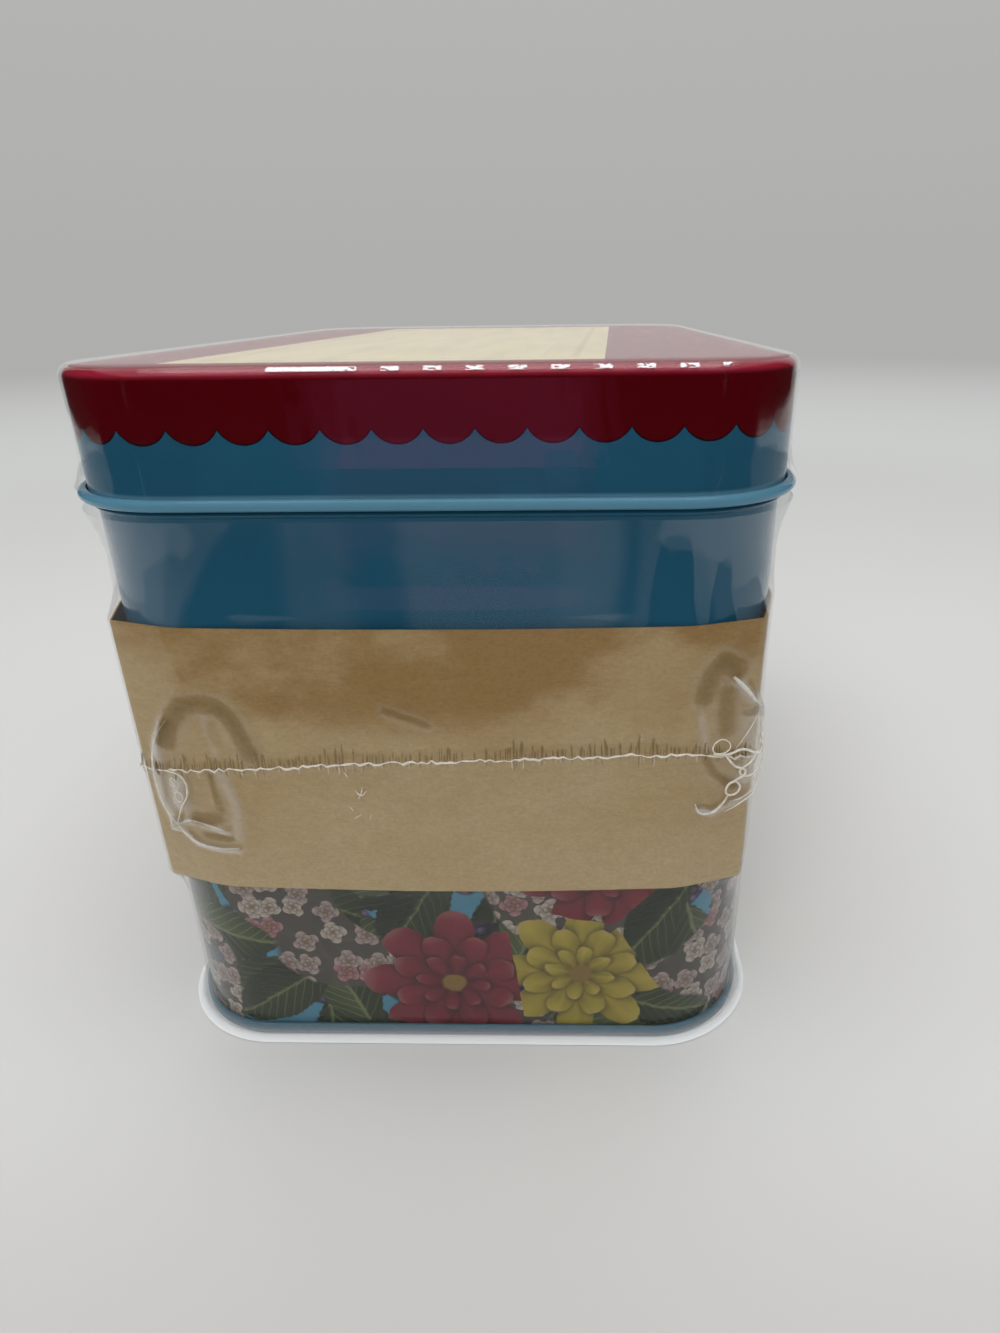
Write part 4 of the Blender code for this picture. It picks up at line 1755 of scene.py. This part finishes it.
@dataclass(frozen=True)
class Crease:
    """A line in the film, in millimetres round the tin and up: its rise, width, whiteness and darkness; the
    whiteness is partly a painted highlight, and the darkness where the film clings is painted shade.
    """

    points: tuple[Step, ...]
    width: float
    rise: float = 0.0
    white: float = 0.0
    cling_shade: float = 0.0

    def nearness(self, along: np.ndarray, up: np.ndarray) -> np.ndarray:
        """From 0 away from the line to 1 on it, at each place.

        Args:
            along: distances round the tin.
            up: heights.

        Returns:
            A share for each place.
        """
        nearest = np.full(along.shape, 1.0)
        line = np.array(self.points) * MM
        for start, end in zip(line, line[1:]):
            run = end - start
            share = ((along - start[0]) * run[0] + (up - start[1]) * run[1]) / (run @ run)
            share = np.clip(share, 0.0, 1.0)
            away = np.hypot(along - start[0] - share * run[0], up - start[1] - share * run[1])
            nearest = np.minimum(nearest, away)
        return np.exp(-((nearest / (self.width * MM)) ** 2))


@dataclass(frozen=True)
class Strand:
    """A rolled string of film, in millimetres: its path round the tin, up and off the film."""

    path: tuple[tuple[float, float, float], ...]
    radius: float
    tip: float = 0.4
    closed: bool = False


# Creases in the film: their whiteness is partly a painted highlight, their darkness where the film clings is
# painted shade.
CREASES = (
    Crease(((-43.5, 62), (-42.3, 65.5), (-39.8, 69.0), (-37, 69.8), (-34, 69.4), (-32.3, 67.6),
            (-31, 64), (-30, 60.8)),
           1.5, rise=0.35, cling_shade=0.75),
    Crease(((-43, 66), (-45.2, 62), (-46.4, 57), (-46.4, 51), (-45, 46)), 0.7, rise=0.9, white=0.45),
    Crease(((-45, 46), (-42.5, 47.5), (-38.5, 46.9), (-36.4, 46)), 0.6, rise=0.6, white=0.3),
    Crease(((-45, 46), (-42, 43.1), (-38, 42.5), (-35, 42.4)), 0.6, rise=0.6, white=0.35),
    Crease(((-43.7, 50.5), (-43.4, 55)), 1.5, rise=0.5, white=0.38),
    Crease(((-37.5, 48.5), (-41, 48.2)), 1.5, cling_shade=0.5),
    Crease(((-36, 44.6), (-40, 44.8)), 0.8, cling_shade=0.6),
    Crease(((-35.5, 57.5), (-34, 51.3), (-34.5, 45)), 0.9, rise=0.3, white=0.18),
    Crease(((-37.3, 57), (-36.6, 50)), 0.7, cling_shade=0.5),
    Crease(((-36.2, 67.5), (-35.6, 60.5)), 0.5, rise=0.2, white=0.12),
    Crease(((40.6, 70.5), (41.6, 74), (43.4, 76), (45.4, 74.4)), 1.7, rise=0.2, cling_shade=0.7),
    Crease(((44.2, 70.5), (44.6, 64)), 1.8, cling_shade=0.45),
    Crease(((45.5, 72.4), (47, 70.4), (49, 67.8), (49.6, 64), (51, 58)), 0.8, rise=0.9, white=0.35),
    Crease(((40.5, 67.1), (41.4, 61.8)), 0.6, rise=0.2, white=0.18),
    Crease(((48.6, 66), (48.2, 60)), 1.6, rise=0.5, white=0.24),
    Crease(((48.5, 58), (48, 55)), 1.8, rise=0.5, white=0.3),
    Crease(((41.5, 59.8), (43, 56.5), (46.5, 53.2)), 0.9, cling_shade=0.5),
    Crease(((51, 53), (47.5, 50.6), (43, 49), (41, 50.2)), 0.7, rise=0.5, white=0.3),
    Crease(((-8, 69.1), (-1.5, 66.4)), 0.8, rise=0.15, cling_shade=0.5),
)
STRANDS = (
    Strand(((-43, 66, 0.1), (-45.0, 63, 0.5), (-46.3, 58, 0.8), (-46.5, 52, 0.8), (-46, 48, 0.5),
            (-45, 46, 0.3)), 0.17),
    Strand(((-45, 46, 0.3), (-42.5, 47.4, 0.3), (-38.5, 46.9, 0.2), (-36.8, 46.1, 0.0)), 0.18),
    Strand(((-45, 46, 0.3), (-43.6, 44.4, 0.4), (-42, 43.1, 0.3), (-38, 42.5, 0.1),
            (-35, 42.5, -0.1)), 0.22),
    Strand(((-45, 46, 0.4), (-43, 50, 0.9), (-41.2, 53.8, 0.7), (-42, 56.2, 0.5),
            (-44.5, 57, 0.6)), 0.14, 0.8),
    Strand(((-44.2, 50.4, 0.7), (-43.2, 53.2, 0.8), (-42.4, 52.2, 0.7), (-43.4, 51.2, 0.7),
            (-42.4, 55, 0.7)), 0.09),
    Strand(((-44.4, 54.5, 0.7), (-43.3, 54.1, 0.8), (-43.8, 55.6, 0.8), (-42.8, 55.2, 0.7)), 0.08),
    Strand(((44.8, 73.2, 0.4), (45.8, 72, 0.6), (47, 70.4, 0.6), (48.2, 68.6, 0.5)), 0.42, 0.6),
    Strand(((48.0, 69, 0.5), (49, 67.4, 0.7), (49.4, 64.8, 0.9), (50, 61, 1.3), (51, 58, 1.4)), 0.24, 0.7),
    Strand(((49, 67.4, 0.6), (47.6, 64, 0.8), (46, 60.5, 0.5)), 0.10),
    Strand(((43.2, 62.6, 0.6), (42.2, 61.3, 0.8), (43.4, 60.3, 0.7), (44.9, 61.1, 0.8),
            (44.4, 62.4, 0.7)), 0.13, 0.9, True),
    Strand(((42.5, 60.2, 0.3), (44.6, 60, 0.8), (46.6, 60.6, 1.1), (48.6, 59.6, 1.3),
            (50.8, 59.8, 1.2)), 0.22, 0.8),
    Strand(((44.2, 60, 0.6), (45.6, 57.8, 1.1), (47.2, 56.4, 1.3), (46.2, 55, 1.0),
            (45.6, 54.4, 0.8)), 0.24, 0.8),
    Strand(((48.8, 60, 1.0), (47.6, 58.2, 1.4), (46.4, 56.6, 1.2), (47.8, 55.4, 1.1),
            (49.6, 56.6, 1.4)), 0.18, 0.8),
    Strand(((45.8, 54.6, 0.8), (44.7, 53.4, 1.0), (45.5, 52.2, 0.9), (46.7, 52.9, 1.0),
            (46.6, 54.2, 0.9)), 0.20, 1.0, True),
    Strand(((49.6, 58.4, 1.5), (50.8, 57, 1.6), (50, 55.6, 1.4), (49, 57, 1.6),
            (50.2, 58, 1.5)), 0.14, 0.9, True),
    Strand(((45.4, 52.2, 0.7), (44.6, 50.4, 0.5), (43, 49, 0.3), (41.2, 49.3, 0.1),
            (40.4, 51, 0.0)), 0.26, 0.5),
    Strand(((50.6, 54.4, 1.0), (49.2, 51.8, 0.8), (47.4, 50, 0.5), (45.4, 48.6, 0.2)), 0.16),
    Strand(((51, 55.4, 1.3), (49.4, 53, 1.0), (47.6, 51.2, 0.7), (45.8, 50.6, 0.4)), 0.11),
    Strand(((-15.3, 57.9, 0.1), (-14.8, 57.2, 0.2)), 0.13),
    Strand(((-13.9, 54.7, 0.1), (-13.0, 53.8, 0.25), (-12.1, 54.5, 0.1)), 0.13),
    Strand(((-13.6, 52.9, 0.1), (-12.9, 54.3, 0.2), (-12.7, 55.2, 0.1)), 0.11),
    Strand(((-15.1, 51.5, 0.1), (-14.6, 50.8, 0.2)), 0.12),
    Strand(((-14.6, 49.2, 0.1), (-13.4, 50.1, 0.2)), 0.17),
    Strand(((-12.1, 49.0, 0.1), (-11.7, 50.1, 0.2)), 0.13),
)


@dataclass
class ShrinkFilm:
    """The shrunk bag round the body: it clings, bridges from band to curl, and gathers at the seam."""

    outline: Outline
    band_foot: float
    band_top: float
    curl: float
    thickness: float = 0.0001
    on_paper: float = 0.0009
    top_drop: float = 0.0022
    top_reach: float = 0.0022
    pucker_half: float = 0.0009
    pucker_rise: float = 0.00022
    bead_step: float = 0.00075
    bead_wander: float = 0.00034
    band_fold: float = 0.0022
    bow_depth: float = 0.0009
    seam_points: tuple[Step, ...] = (
        (-48, 56.5), (-44, 57), (-37.5, 58), (-28, 58.5), (-17.5, 59.5), (-4.5, 60),
        (11, 60.5), (31, 61), (41, 60.5), (45.5, 59), (50, 58.6),
    )

    def seam(self, along: np.ndarray) -> np.ndarray:
        """The seam's height at each distance round the tin.

        Args:
            along: distances round the tin.

        Returns:
            The heights.
        """
        points = np.array(self.seam_points) * MM
        sway = 0.0007 * np.sin(along * 90.0) * np.clip((np.abs(along) - 0.05) / 0.02, 0, 1)
        return np.interp(along, points[:, 0], points[:, 1]) + sway

    def reach(self, along: np.ndarray, up: np.ndarray) -> np.ndarray:
        """How far the film lies outside the wall.

        Args:
            along: distances round the tin.
            up: heights.

        Returns:
            The distances outwards.
        """
        foot, top, curl, on_paper = self.band_foot, self.band_top, self.curl, self.on_paper
        knots = (
            (0.0002, 0.0031), (0.0006, 0.0024), (0.0014, 0.0018), (0.0035, 0.0012), (0.008, 0.0005),
            (0.028, 0.0005), (foot - 0.0015, 0.0008), (foot + 0.001, on_paper), (top - 0.001, on_paper),
            (top + 0.0006, on_paper), (top + 0.004, 0.0006), (curl - 0.009, 0.0005), (curl - 0.006, 0.0010),
            (curl - self.top_drop, self.top_reach),
        )
        base = np.interp(up, *np.array(knots).T)
        ends = (on_paper + self.bow_depth * 0.6, self.top_reach)
        bridge = np.interp(up, (top, curl - self.top_drop), ends)
        share = np.clip(self.outline.bow(along) * 2.5, 0, 1) * np.interp(up, (top, top + 0.003), (0.0, 1.0))
        base = base + (np.maximum(bridge, base) - base) * share
        edges = (foot - 0.003, foot + 0.0005, top + 0.0002, top + 0.006)
        on_band = np.interp(up, edges, (0.0, 1.0, 1.0, 0.0))
        wave = np.sin(along * 61.0 + 1.3) * np.sin(along * 23.0 + up * 40.0) * 0.00012
        out = base + (self.outline.bow(along) * self.bow_depth + np.abs(wave)) * on_band
        out = out + self.outline.crease(along, base, self.band_fold * on_band + 0.00001)
        pucker = np.exp(-(((up - self.seam(along)) / self.pucker_half) ** 2)) * self.pucker_rise
        return out + pucker

    def rows(self) -> list[Step]:
        """The heights of the film's rings, close together round the seam.

        Returns:
            Pairs of an offset, here 0, and a height, from the foot up.
        """
        stops = (
            (0.0002, 4), (0.0018, 3), (0.006, 6), (self.band_foot - 0.002, 4), (self.band_foot + 0.002, 5),
            (0.0405, 46), (0.0665, 13), (self.band_top - 0.001, 5), (self.band_top + 0.002, 12),
        )
        ends = [stop[0] for stop in stops[1:]] + [self.curl - self.top_drop]
        heights = [h for (low, steps), high in zip(stops, ends) for h in spread(low, high, steps)]
        return [(0.0, height) for height in [*heights, ends[-1]]]

    def build(self, clear: bpy.types.Material, milky: bpy.types.Material) -> None:
        """Models and dresses the film round the body, its seam and its gathers.

        Args:
            clear: the finish of the skin.
            milky: the finish of seam and strings.
        """
        skin = RoundedTube("film_on_body", self.outline, self.rows(), 32, 92, 62).build(self.warp)
        self._mark(skin)
        dress(skin, (clear,))
        thicken(skin, self.thickness)
        smooth(skin, 60.0)
        settle(skin, Body.TIN, Slot.FILM, "film_body")
        self._build_strings(milky)

    def warp(self, along: np.ndarray, up: np.ndarray) -> np.ndarray:
        """The film's place with the creases at its gathered corners.

        Args:
            along: distances round the tin.
            up: heights.

        Returns:
            How far the film lies off its profile at each.
        """
        out = self.reach(along, up)
        for crease in CREASES:
            if crease.rise:
                out = out + crease.nearness(along, up) * crease.rise * MM
        return out

    def _mark(self, skin: bpy.types.Object) -> None:
        """Keeps the whiteness, the darkness and the height over the seam on the mesh; the whiteness is
        partly a painted highlight, and the darkness where the film clings is painted shade.

        Args:
            skin: the skin.
        """
        count = len(skin.data.vertices)
        places = np.zeros(count * 3)
        skin.data.vertices.foreach_get("co", places)
        places = places.reshape(-1, 3)
        along, up = self.outline.along(places), places[:, 2]
        # Partly painted highlight: the film is painted white at its foot, where it gathers.
        white = np.interp(up, (0.0003, 0.0008, 0.0016, 0.0028), (1.1, 0.6, 0.2, 0.0))
        # Painted shade: darkness where the film clings along the creases.
        cling_shade = np.zeros(count)
        for crease in CREASES:
            near = crease.nearness(along, up)
            white = np.maximum(white, near * crease.white)
            cling_shade = np.maximum(cling_shade, near * crease.cling_shade)
        cling_shade = cling_shade * (1 - white)
        sealed = np.where(along < 0.049, up - self.seam(along), 0.05)
        for name, values in (("fold", white), ("cling_shade", cling_shade), ("over_seam", sealed)):
            layer = skin.data.attributes.new(name, "FLOAT", "POINT")
            layer.data.foreach_set("value", values.astype(np.float32))

    def _place(self, along: float, up: float, lift: float) -> Vector:
        """A point that lies off the film.

        Args:
            along: the distance round the tin.
            up: the height.
            lift: how far off the film.

        Returns:
            The point.
        """
        spot, out = self.outline.at(along)
        reach = float(self.reach(np.array([along]), np.array([up]))[0]) + lift
        return Vector((spot.x + out.x * reach, spot.y + out.y * reach, up))

    def _build_strings(self, milky: bpy.types.Material) -> None:
        """Models the sealed seam and the rolled strings at its gathers.

        Args:
            milky: the finish.
        """
        strings = [self._string(strand) for strand in STRANDS]
        strings.append(self._seal(0.0505, -0.0505, 0.00013))
        strings.append(self._seal(-0.0505, -self.outline.perimeter / 2 - 0.045, 0.00011))
        deselect_all()
        for string in strings:
            string.select_set(True)
        bpy.context.view_layer.objects.active = strings[0]
        bpy.ops.object.join()
        seam = bpy.context.object
        seam.name = seam.data.name = "film_seam"
        dress(seam, (milky,))
        smooth(seam, 80.0)
        settle(seam, Body.TIN, Slot.FILM)

    def _string(self, strand: Strand) -> bpy.types.Object:
        """A round string through a strand's points, thinner to its ends.

        Args:
            strand: the strand.

        Returns:
            The string.
        """
        places = [self._place(along * MM, up * MM, lift * MM) for along, up, lift in strand.path]
        last = len(places) - 1
        swell = [
            strand.tip + (1 - strand.tip) * math.sin(math.pi * index / last) for index in range(last + 1)
        ]
        return string_along(places, strand.radius * MM, swell, strand.closed)

    def _seal(self, start: float, end: float, radius: float) -> bpy.types.Object:
        """The ragged bead where the film is welded, from one distance round the tin to another.

        Args:
            start: the distance where it begins.
            end: the distance where it ends.
            radius: its thickness, halved.

        Returns:
            The bead.
        """
        rng = np.random.default_rng(7)
        count = int(abs(end - start) / self.bead_step)
        alongs = np.linspace(start, end, count)
        ups = self.seam(alongs) + rng.uniform(-self.bead_wander, self.bead_wander, count)
        places = [self._place(float(s), float(z), 0.0003) for s, z in zip(alongs, ups)]
        return string_along(places, radius, list(rng.uniform(0.5, 1.9, count)), False)


def string_along(
    places: Sequence[Vector], radius: float, swell: Sequence[float], closed: bool
) -> bpy.types.Object:
    """A round string through points.

    Args:
        places: the points.
        radius: the string's radius.
        swell: the radius's factor at each point.
        closed: True for a loop.

    Returns:
        The string as a mesh.
    """
    deselect_all()
    bpy.ops.curve.primitive_bezier_curve_add()
    string = bpy.context.object
    string.data.splines.clear()
    spline = string.data.splines.new("BEZIER")
    spline.bezier_points.add(len(places) - 1)
    spline.use_cyclic_u = closed
    for point, place, factor in zip(spline.bezier_points, places, swell):
        point.co = place
        point.radius = factor
        point.handle_left_type = point.handle_right_type = "AUTO"
    string.data.bevel_depth = radius
    string.data.bevel_resolution = 1
    string.data.use_fill_caps = not closed
    string.data.resolution_u = 5 if len(places) < 30 else 1
    bpy.ops.object.convert(target="MESH")
    return bpy.context.object


@dataclass
class LidFilm:
    """The film over the lid: tight over the top, straight down the skirt, wider at the curl."""

    outline: Outline
    top: float
    curl: float
    rise: float = 0.0004
    thickness: float = 0.0001
    lid_offset: float = 0.00085
    edge_radius: float = 0.0015

    def profile(self) -> list[Step]:
        """The film from the lid's top round its edge and down to the curl.

        Returns:
            Pairs of a distance outwards and a height.
        """
        centre = (self.lid_offset - self.edge_radius, self.top - self.edge_radius)
        radius = self.edge_radius + self.rise
        waist = (centre[0] + radius, self.curl + 0.0055)
        drop = [(waist[0], height) for height in spread(centre[1], waist[1], 5)[1:]]
        flare = [(waist[0] + (0.0026 - waist[0]) * share**1.6, waist[1] - 0.0044 * share)
                 for share in (0.0, 0.2, 0.4, 0.6, 0.8, 1.0)]
        return [(centre[0] - 0.008, self.top + self.rise), *arc(centre, radius, 90, 0, 9), *drop, *flare]

    def build(self, side: bpy.types.Material, over: bpy.types.Material) -> None:
        """Models and dresses the film.

        Args:
            side: the finish down the sides.
            over: the finish on top.
        """
        skin = RoundedTube("film_on_lid", self.outline, self.profile(), 20, 24, 30).build()
        cap_ring(skin, self.top + self.rise, inset=0.006)
        dress(skin, (side, over))
        for face in skin.data.polygons:
            face.material_index = 1 if face.center[2] > self.top + self.rise - 0.0001 else 0
        thicken(skin, self.thickness)
        smooth(skin, 60.0)
        settle(skin, Body.LID, Slot.FILM, "film_lid")


@dataclass
class Hinge:
    """The steel wire in the rear curl and the two ears that hold it."""

    steel: BareMetal = BareMetal((0.60, 0.60, 0.61), 0.26)
    nodes: tuple[str, ...] = ("hinge_wire", "hinge_ear_left", "hinge_ear_right")

    def dress(self) -> None:
        """Gives the hinge its steel."""
        finish = self.steel.make("drawn_steel")
        for name in self.nodes:
            dress(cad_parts[name], (finish,))
            LOG.info("%s: dressed", name)


@dataclass
class CardSet:
    """The recipe cards and the tabbed dividers in front of each group."""

    stock: CardPrint = CardPrint()
    board: DividerPrint = DividerPrint()
    boards: tuple[Colour, ...] = ((0.20, 0.36, 0.42), (0.45, 0.10, 0.09), (0.50, 0.40, 0.14))

    def dress(self) -> None:
        """Gives the cards and the dividers their prints."""
        cards = sorted(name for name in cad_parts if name.startswith("recipe_card"))
        dividers = sorted(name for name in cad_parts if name.startswith("divider"))
        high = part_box(cards[0])[1]
        paper = self.stock.make("card_stock", high.z, high.x)
        for name in cards:
            dress(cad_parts[name], (paper,))
        finishes = [self.board.make(f"board_{n}", colour, high.z) for n, colour in enumerate(self.boards, 1)]
        for index, name in enumerate(dividers):
            dress(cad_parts[name], (finishes[index % len(finishes)],))
        LOG.info("%d cards and %d dividers dressed", len(cards), len(dividers))


@dataclass(frozen=True)
class Lamp:
    """A square soft light: its place and aim, side and watts, and whether glossy surfaces show it."""

    name: str
    place: Place
    aim: Place
    side: float
    power: float
    mirrored: bool = False


@dataclass(frozen=True)
class Card:
    """A card that only reflections see: its middle, its sides, its turn, its colour and its glow."""

    name: str
    place: Place
    size: Place
    turn: Place
    colour: Colour
    glow: Colour = (0.0, 0.0, 0.0)


@dataclass
class Studio:
    """The pale floor, the light and the camera."""

    floor: Colour = (0.62, 0.62, 0.61)
    # Painted pool of light near the box, and painted shade in front of it.
    floor_lit_near: Colour = (0.64, 0.64, 0.63)
    floor_shaded_front: Colour = (0.52, 0.51, 0.50)
    floor_far: Colour = (0.60, 0.61, 0.60)
    floor_size: float = 12.0
    backdrop: Colour = (0.425, 0.425, 0.42)
    backdrop_top: Colour = (0.47, 0.47, 0.46)
    backdrop_height: float = 0.35
    sky: float = 0.55
    eye: Place = (0.1942, 0.02019, 0.12569)
    right: Place = (-0.02121283, 0.99970496, -0.01183243)
    up: Place = (-0.41430629, 0.00198109, 0.91013536)
    forward: Place = (-0.90989027, -0.02420879, -0.41414203)
    lens: float = 22.087
    sensor: float = 36.0
    nearest: float = 0.01
    shift: Step = (-0.0365, 0.0034)
    lamps: tuple[Lamp, ...] = (
        Lamp("overhead", (0.0, 0.0, 0.80), (0.0, 0.0, 0.0), 0.8, 3.4, mirrored=True),
        Lamp("front_fill", (0.95, -0.25, 0.55), (0.0, 0.0, 0.06), 0.6, 3.2),
        Lamp("left_fill", (-0.10, -0.95, 0.50), (0.0, 0.0, 0.06), 0.6, 1.4),
        Lamp("right_fill", (-0.10, 0.95, 0.50), (0.0, 0.0, 0.06), 0.6, 1.4),
    )
    cards: tuple[Card, ...] = (
        Card("card_floor", (0.62, 0.0, 0.0006), (0.84, 1.8, 1.0), FLAT, DARK),
        Card("card_front", (1.04, 0.0, 0.5), (1.0, 1.8, 1.0), FACING_X, DARK),
        Card("card_left", (0.12, -0.9, 0.45), (1.8, 0.9, 1.0), FACING_Y, DARK),
        Card("card_right", (0.12, 0.9, 0.45), (1.8, 0.9, 1.0), FACING_Y, DARK),
        Card("card_middle", (0.32, -0.0277, 0.065), (0.13, 0.1145, 1.0), FACING_X, BLACK, PINK_GLOW),
        Card("card_back", (-1.5, 0.0, 0.15), (0.30, 3.0, 1.0), FACING_X, BLACK, PALE_GLOW),
    )

    def build(self) -> None:
        """Sets up the whole studio."""
        self._floor()
        for card in self.cards:
            self._reflect(card)
        for lamp in self.lamps:
            self._light(lamp)
        self._world()
        self._camera()
        bpy.context.scene.view_settings.view_transform = "Standard"

    def _floor(self) -> None:
        """A wide pale floor, painted lighter near the box as a painted pool of light and darker in front of
        it as painted shade, that dims to the backdrop with distance.
        """
        deselect_all()
        bpy.ops.mesh.primitive_plane_add(size=self.floor_size)
        floor = bpy.context.object
        floor.name = "floor"
        paint = Paint("pale_floor", 0.55, gloss=0.3)
        x, y, _ = paint.place()
        away = distance(x, y)
        # Painted pool of light near the box, then painted shade in front of it.
        near = paint.lay((0.30 - away).ease(0.0, 0.16), self.floor, self.floor_lit_near)
        paint.set_colour(paint.lay((x - 0.09).ease(0.0, 0.06), near, self.floor_shaded_front))
        far = paint.lay(away.ease(0.55, 2.0), self.floor_far, self.backdrop)
        glow = paint.tree.nodes.new("ShaderNodeEmission")
        paint.tree.links.new(far, glow.inputs["Color"])
        seen = self._rays(paint.tree, "Is Camera Ray", "Is Glossy Ray") * away.ease(0.22, 0.70)
        self._mix(seen, paint.shader, glow, paint.tree.nodes["Material Output"])
        dress(floor, (paint.material,))

    def _rays(self, tree: bpy.types.NodeTree, *kinds: str) -> Field:
        """Which rays see a thing.

        Args:
            tree: the node tree.
            kinds: the kinds of ray.

        Returns:
            1 for rays of these kinds, 0 for the others.
        """
        path = tree.nodes.new("ShaderNodeLightPath")
        seen = Field(tree, path.outputs[kinds[0]])
        for kind in kinds[1:]:
            seen = seen.most(Field(tree, path.outputs[kind]))
        return seen

    def _mix(self, share: Field, first: bpy.types.Node, second: bpy.types.Node, end: bpy.types.Node) -> None:
        """Feeds a tree's output with two shaders.

        Args:
            share: the second shader's share, in that tree.
            first: the first shader.
            second: the second shader.
            end: the output.
        """
        tree = share.tree
        mix = tree.nodes.new("ShaderNodeMixShader")
        tree.links.new(share.socket, mix.inputs[0])
        tree.links.new(first.outputs[0], mix.inputs[1])
        tree.links.new(second.outputs[0], mix.inputs[2])
        tree.links.new(mix.outputs[0], end.inputs["Surface"])

    def _reflect(self, kind: Card) -> None:
        """Adds a card for reflections.

        Args:
            kind: the card's place and look.
        """
        paint = Paint(kind.name, 0.9)
        paint.set_colour(kind.colour)
        if any(kind.glow):
            paint.shader.inputs["Emission Color"].default_value = (*kind.glow, 1.0)
            paint.shader.inputs["Emission Strength"].default_value = 1.0
        deselect_all()
        bpy.ops.mesh.primitive_plane_add(size=1.0, location=kind.place, rotation=kind.turn)
        card = bpy.context.object
        card.name = kind.name
        card.scale = kind.size
        card.visible_camera = card.visible_diffuse = card.visible_shadow = False
        card.visible_transmission = False
        dress(card, (paint.material,))

    def _light(self, lamp: Lamp) -> None:
        """Adds a lamp.

        Args:
            lamp: the lamp.
        """
        deselect_all()
        bpy.ops.object.light_add(type="AREA", location=lamp.place)
        light = bpy.context.object
        light.name = lamp.name
        light.rotation_euler = (Vector(lamp.aim) - Vector(lamp.place)).to_track_quat("-Z", "Y").to_euler()
        light.data.size = lamp.side
        light.data.energy = lamp.power
        light.visible_glossy = lamp.mirrored

    def _world(self) -> None:
        """Soft light from all round, and a grey backdrop for camera and reflections."""
        world = bpy.data.worlds.new("studio")
        bpy.context.scene.world = world
        world.use_nodes = True
        tree = world.node_tree
        soft = tree.nodes["Background"]
        soft.inputs["Color"].default_value = (self.sky, self.sky, self.sky, 1.0)
        seen = tree.nodes.new("ShaderNodeBackground")
        place = tree.nodes.new("ShaderNodeTexCoord")
        parts = tree.nodes.new("ShaderNodeSeparateXYZ")
        tree.links.new(place.outputs["Generated"], parts.inputs[0])
        fade = tree.nodes.new("ShaderNodeValToRGB")
        tree.links.new(parts.outputs["Z"], fade.inputs[0])
        low, high = fade.color_ramp.elements
        low.color = (*self.backdrop, 1.0)
        high.color = (*self.backdrop_top, 1.0)
        high.position = self.backdrop_height
        tree.links.new(fade.outputs["Color"], seen.inputs["Color"])
        direct = self._rays(tree, "Is Camera Ray", "Is Glossy Ray", "Is Transmission Ray")
        self._mix(direct, soft, seen, tree.nodes["World Output"])

    def _camera(self) -> None:
        """Places the camera before the box's end, a little above its lid."""
        deselect_all()
        bpy.ops.object.camera_add()
        camera = bpy.context.object
        columns = (Vector(self.right), Vector(self.up), -Vector(self.forward))
        camera.matrix_world = Matrix.Translation(self.eye) @ Matrix(columns).transposed().to_4x4()
        camera.data.sensor_width = self.sensor
        camera.data.lens = self.lens
        camera.data.shift_x, camera.data.shift_y = self.shift
        camera.data.clip_start = self.nearest
        bpy.context.scene.camera = camera


def main() -> None:
    """Builds the box's looks."""
    logging.basicConfig(level=logging.INFO, format="%(name)s: %(message)s")
    wall_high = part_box("body_wall")[1]
    outline = Outline(wall_high.x - TinBody.bead_depth, wall_high.y - TinBody.bead_depth)
    lid_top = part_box("lid_shell")[1].z
    curl = sum(point.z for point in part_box("hinge_wire")) / 2
    band_low, band_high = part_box("paper_band")
    prints = TinPrint()
    inside = BareMetal((0.62, 0.60, 0.55), 0.30).make("tinplate_inside")
    body = TinBody(outline)
    body.build_wall(prints, FloralPrint(), inside)
    body.build_bottom(prints, inside)
    HingedLid(outline, lid_top, curl).build(prints, inside)
    BellyBand(outline, band_low.z, band_high.z).build()
    film = ClearFilm()
    ShrinkFilm(outline, band_low.z, band_high.z, curl).build(film.on_body(), film.rolled())
    LidFilm(outline, lid_top, curl).build(film.on_lid(), film.on_top())
    Hinge().dress()
    CardSet().dress()
    Studio().build()


if __name__ == "__main__":
    main()
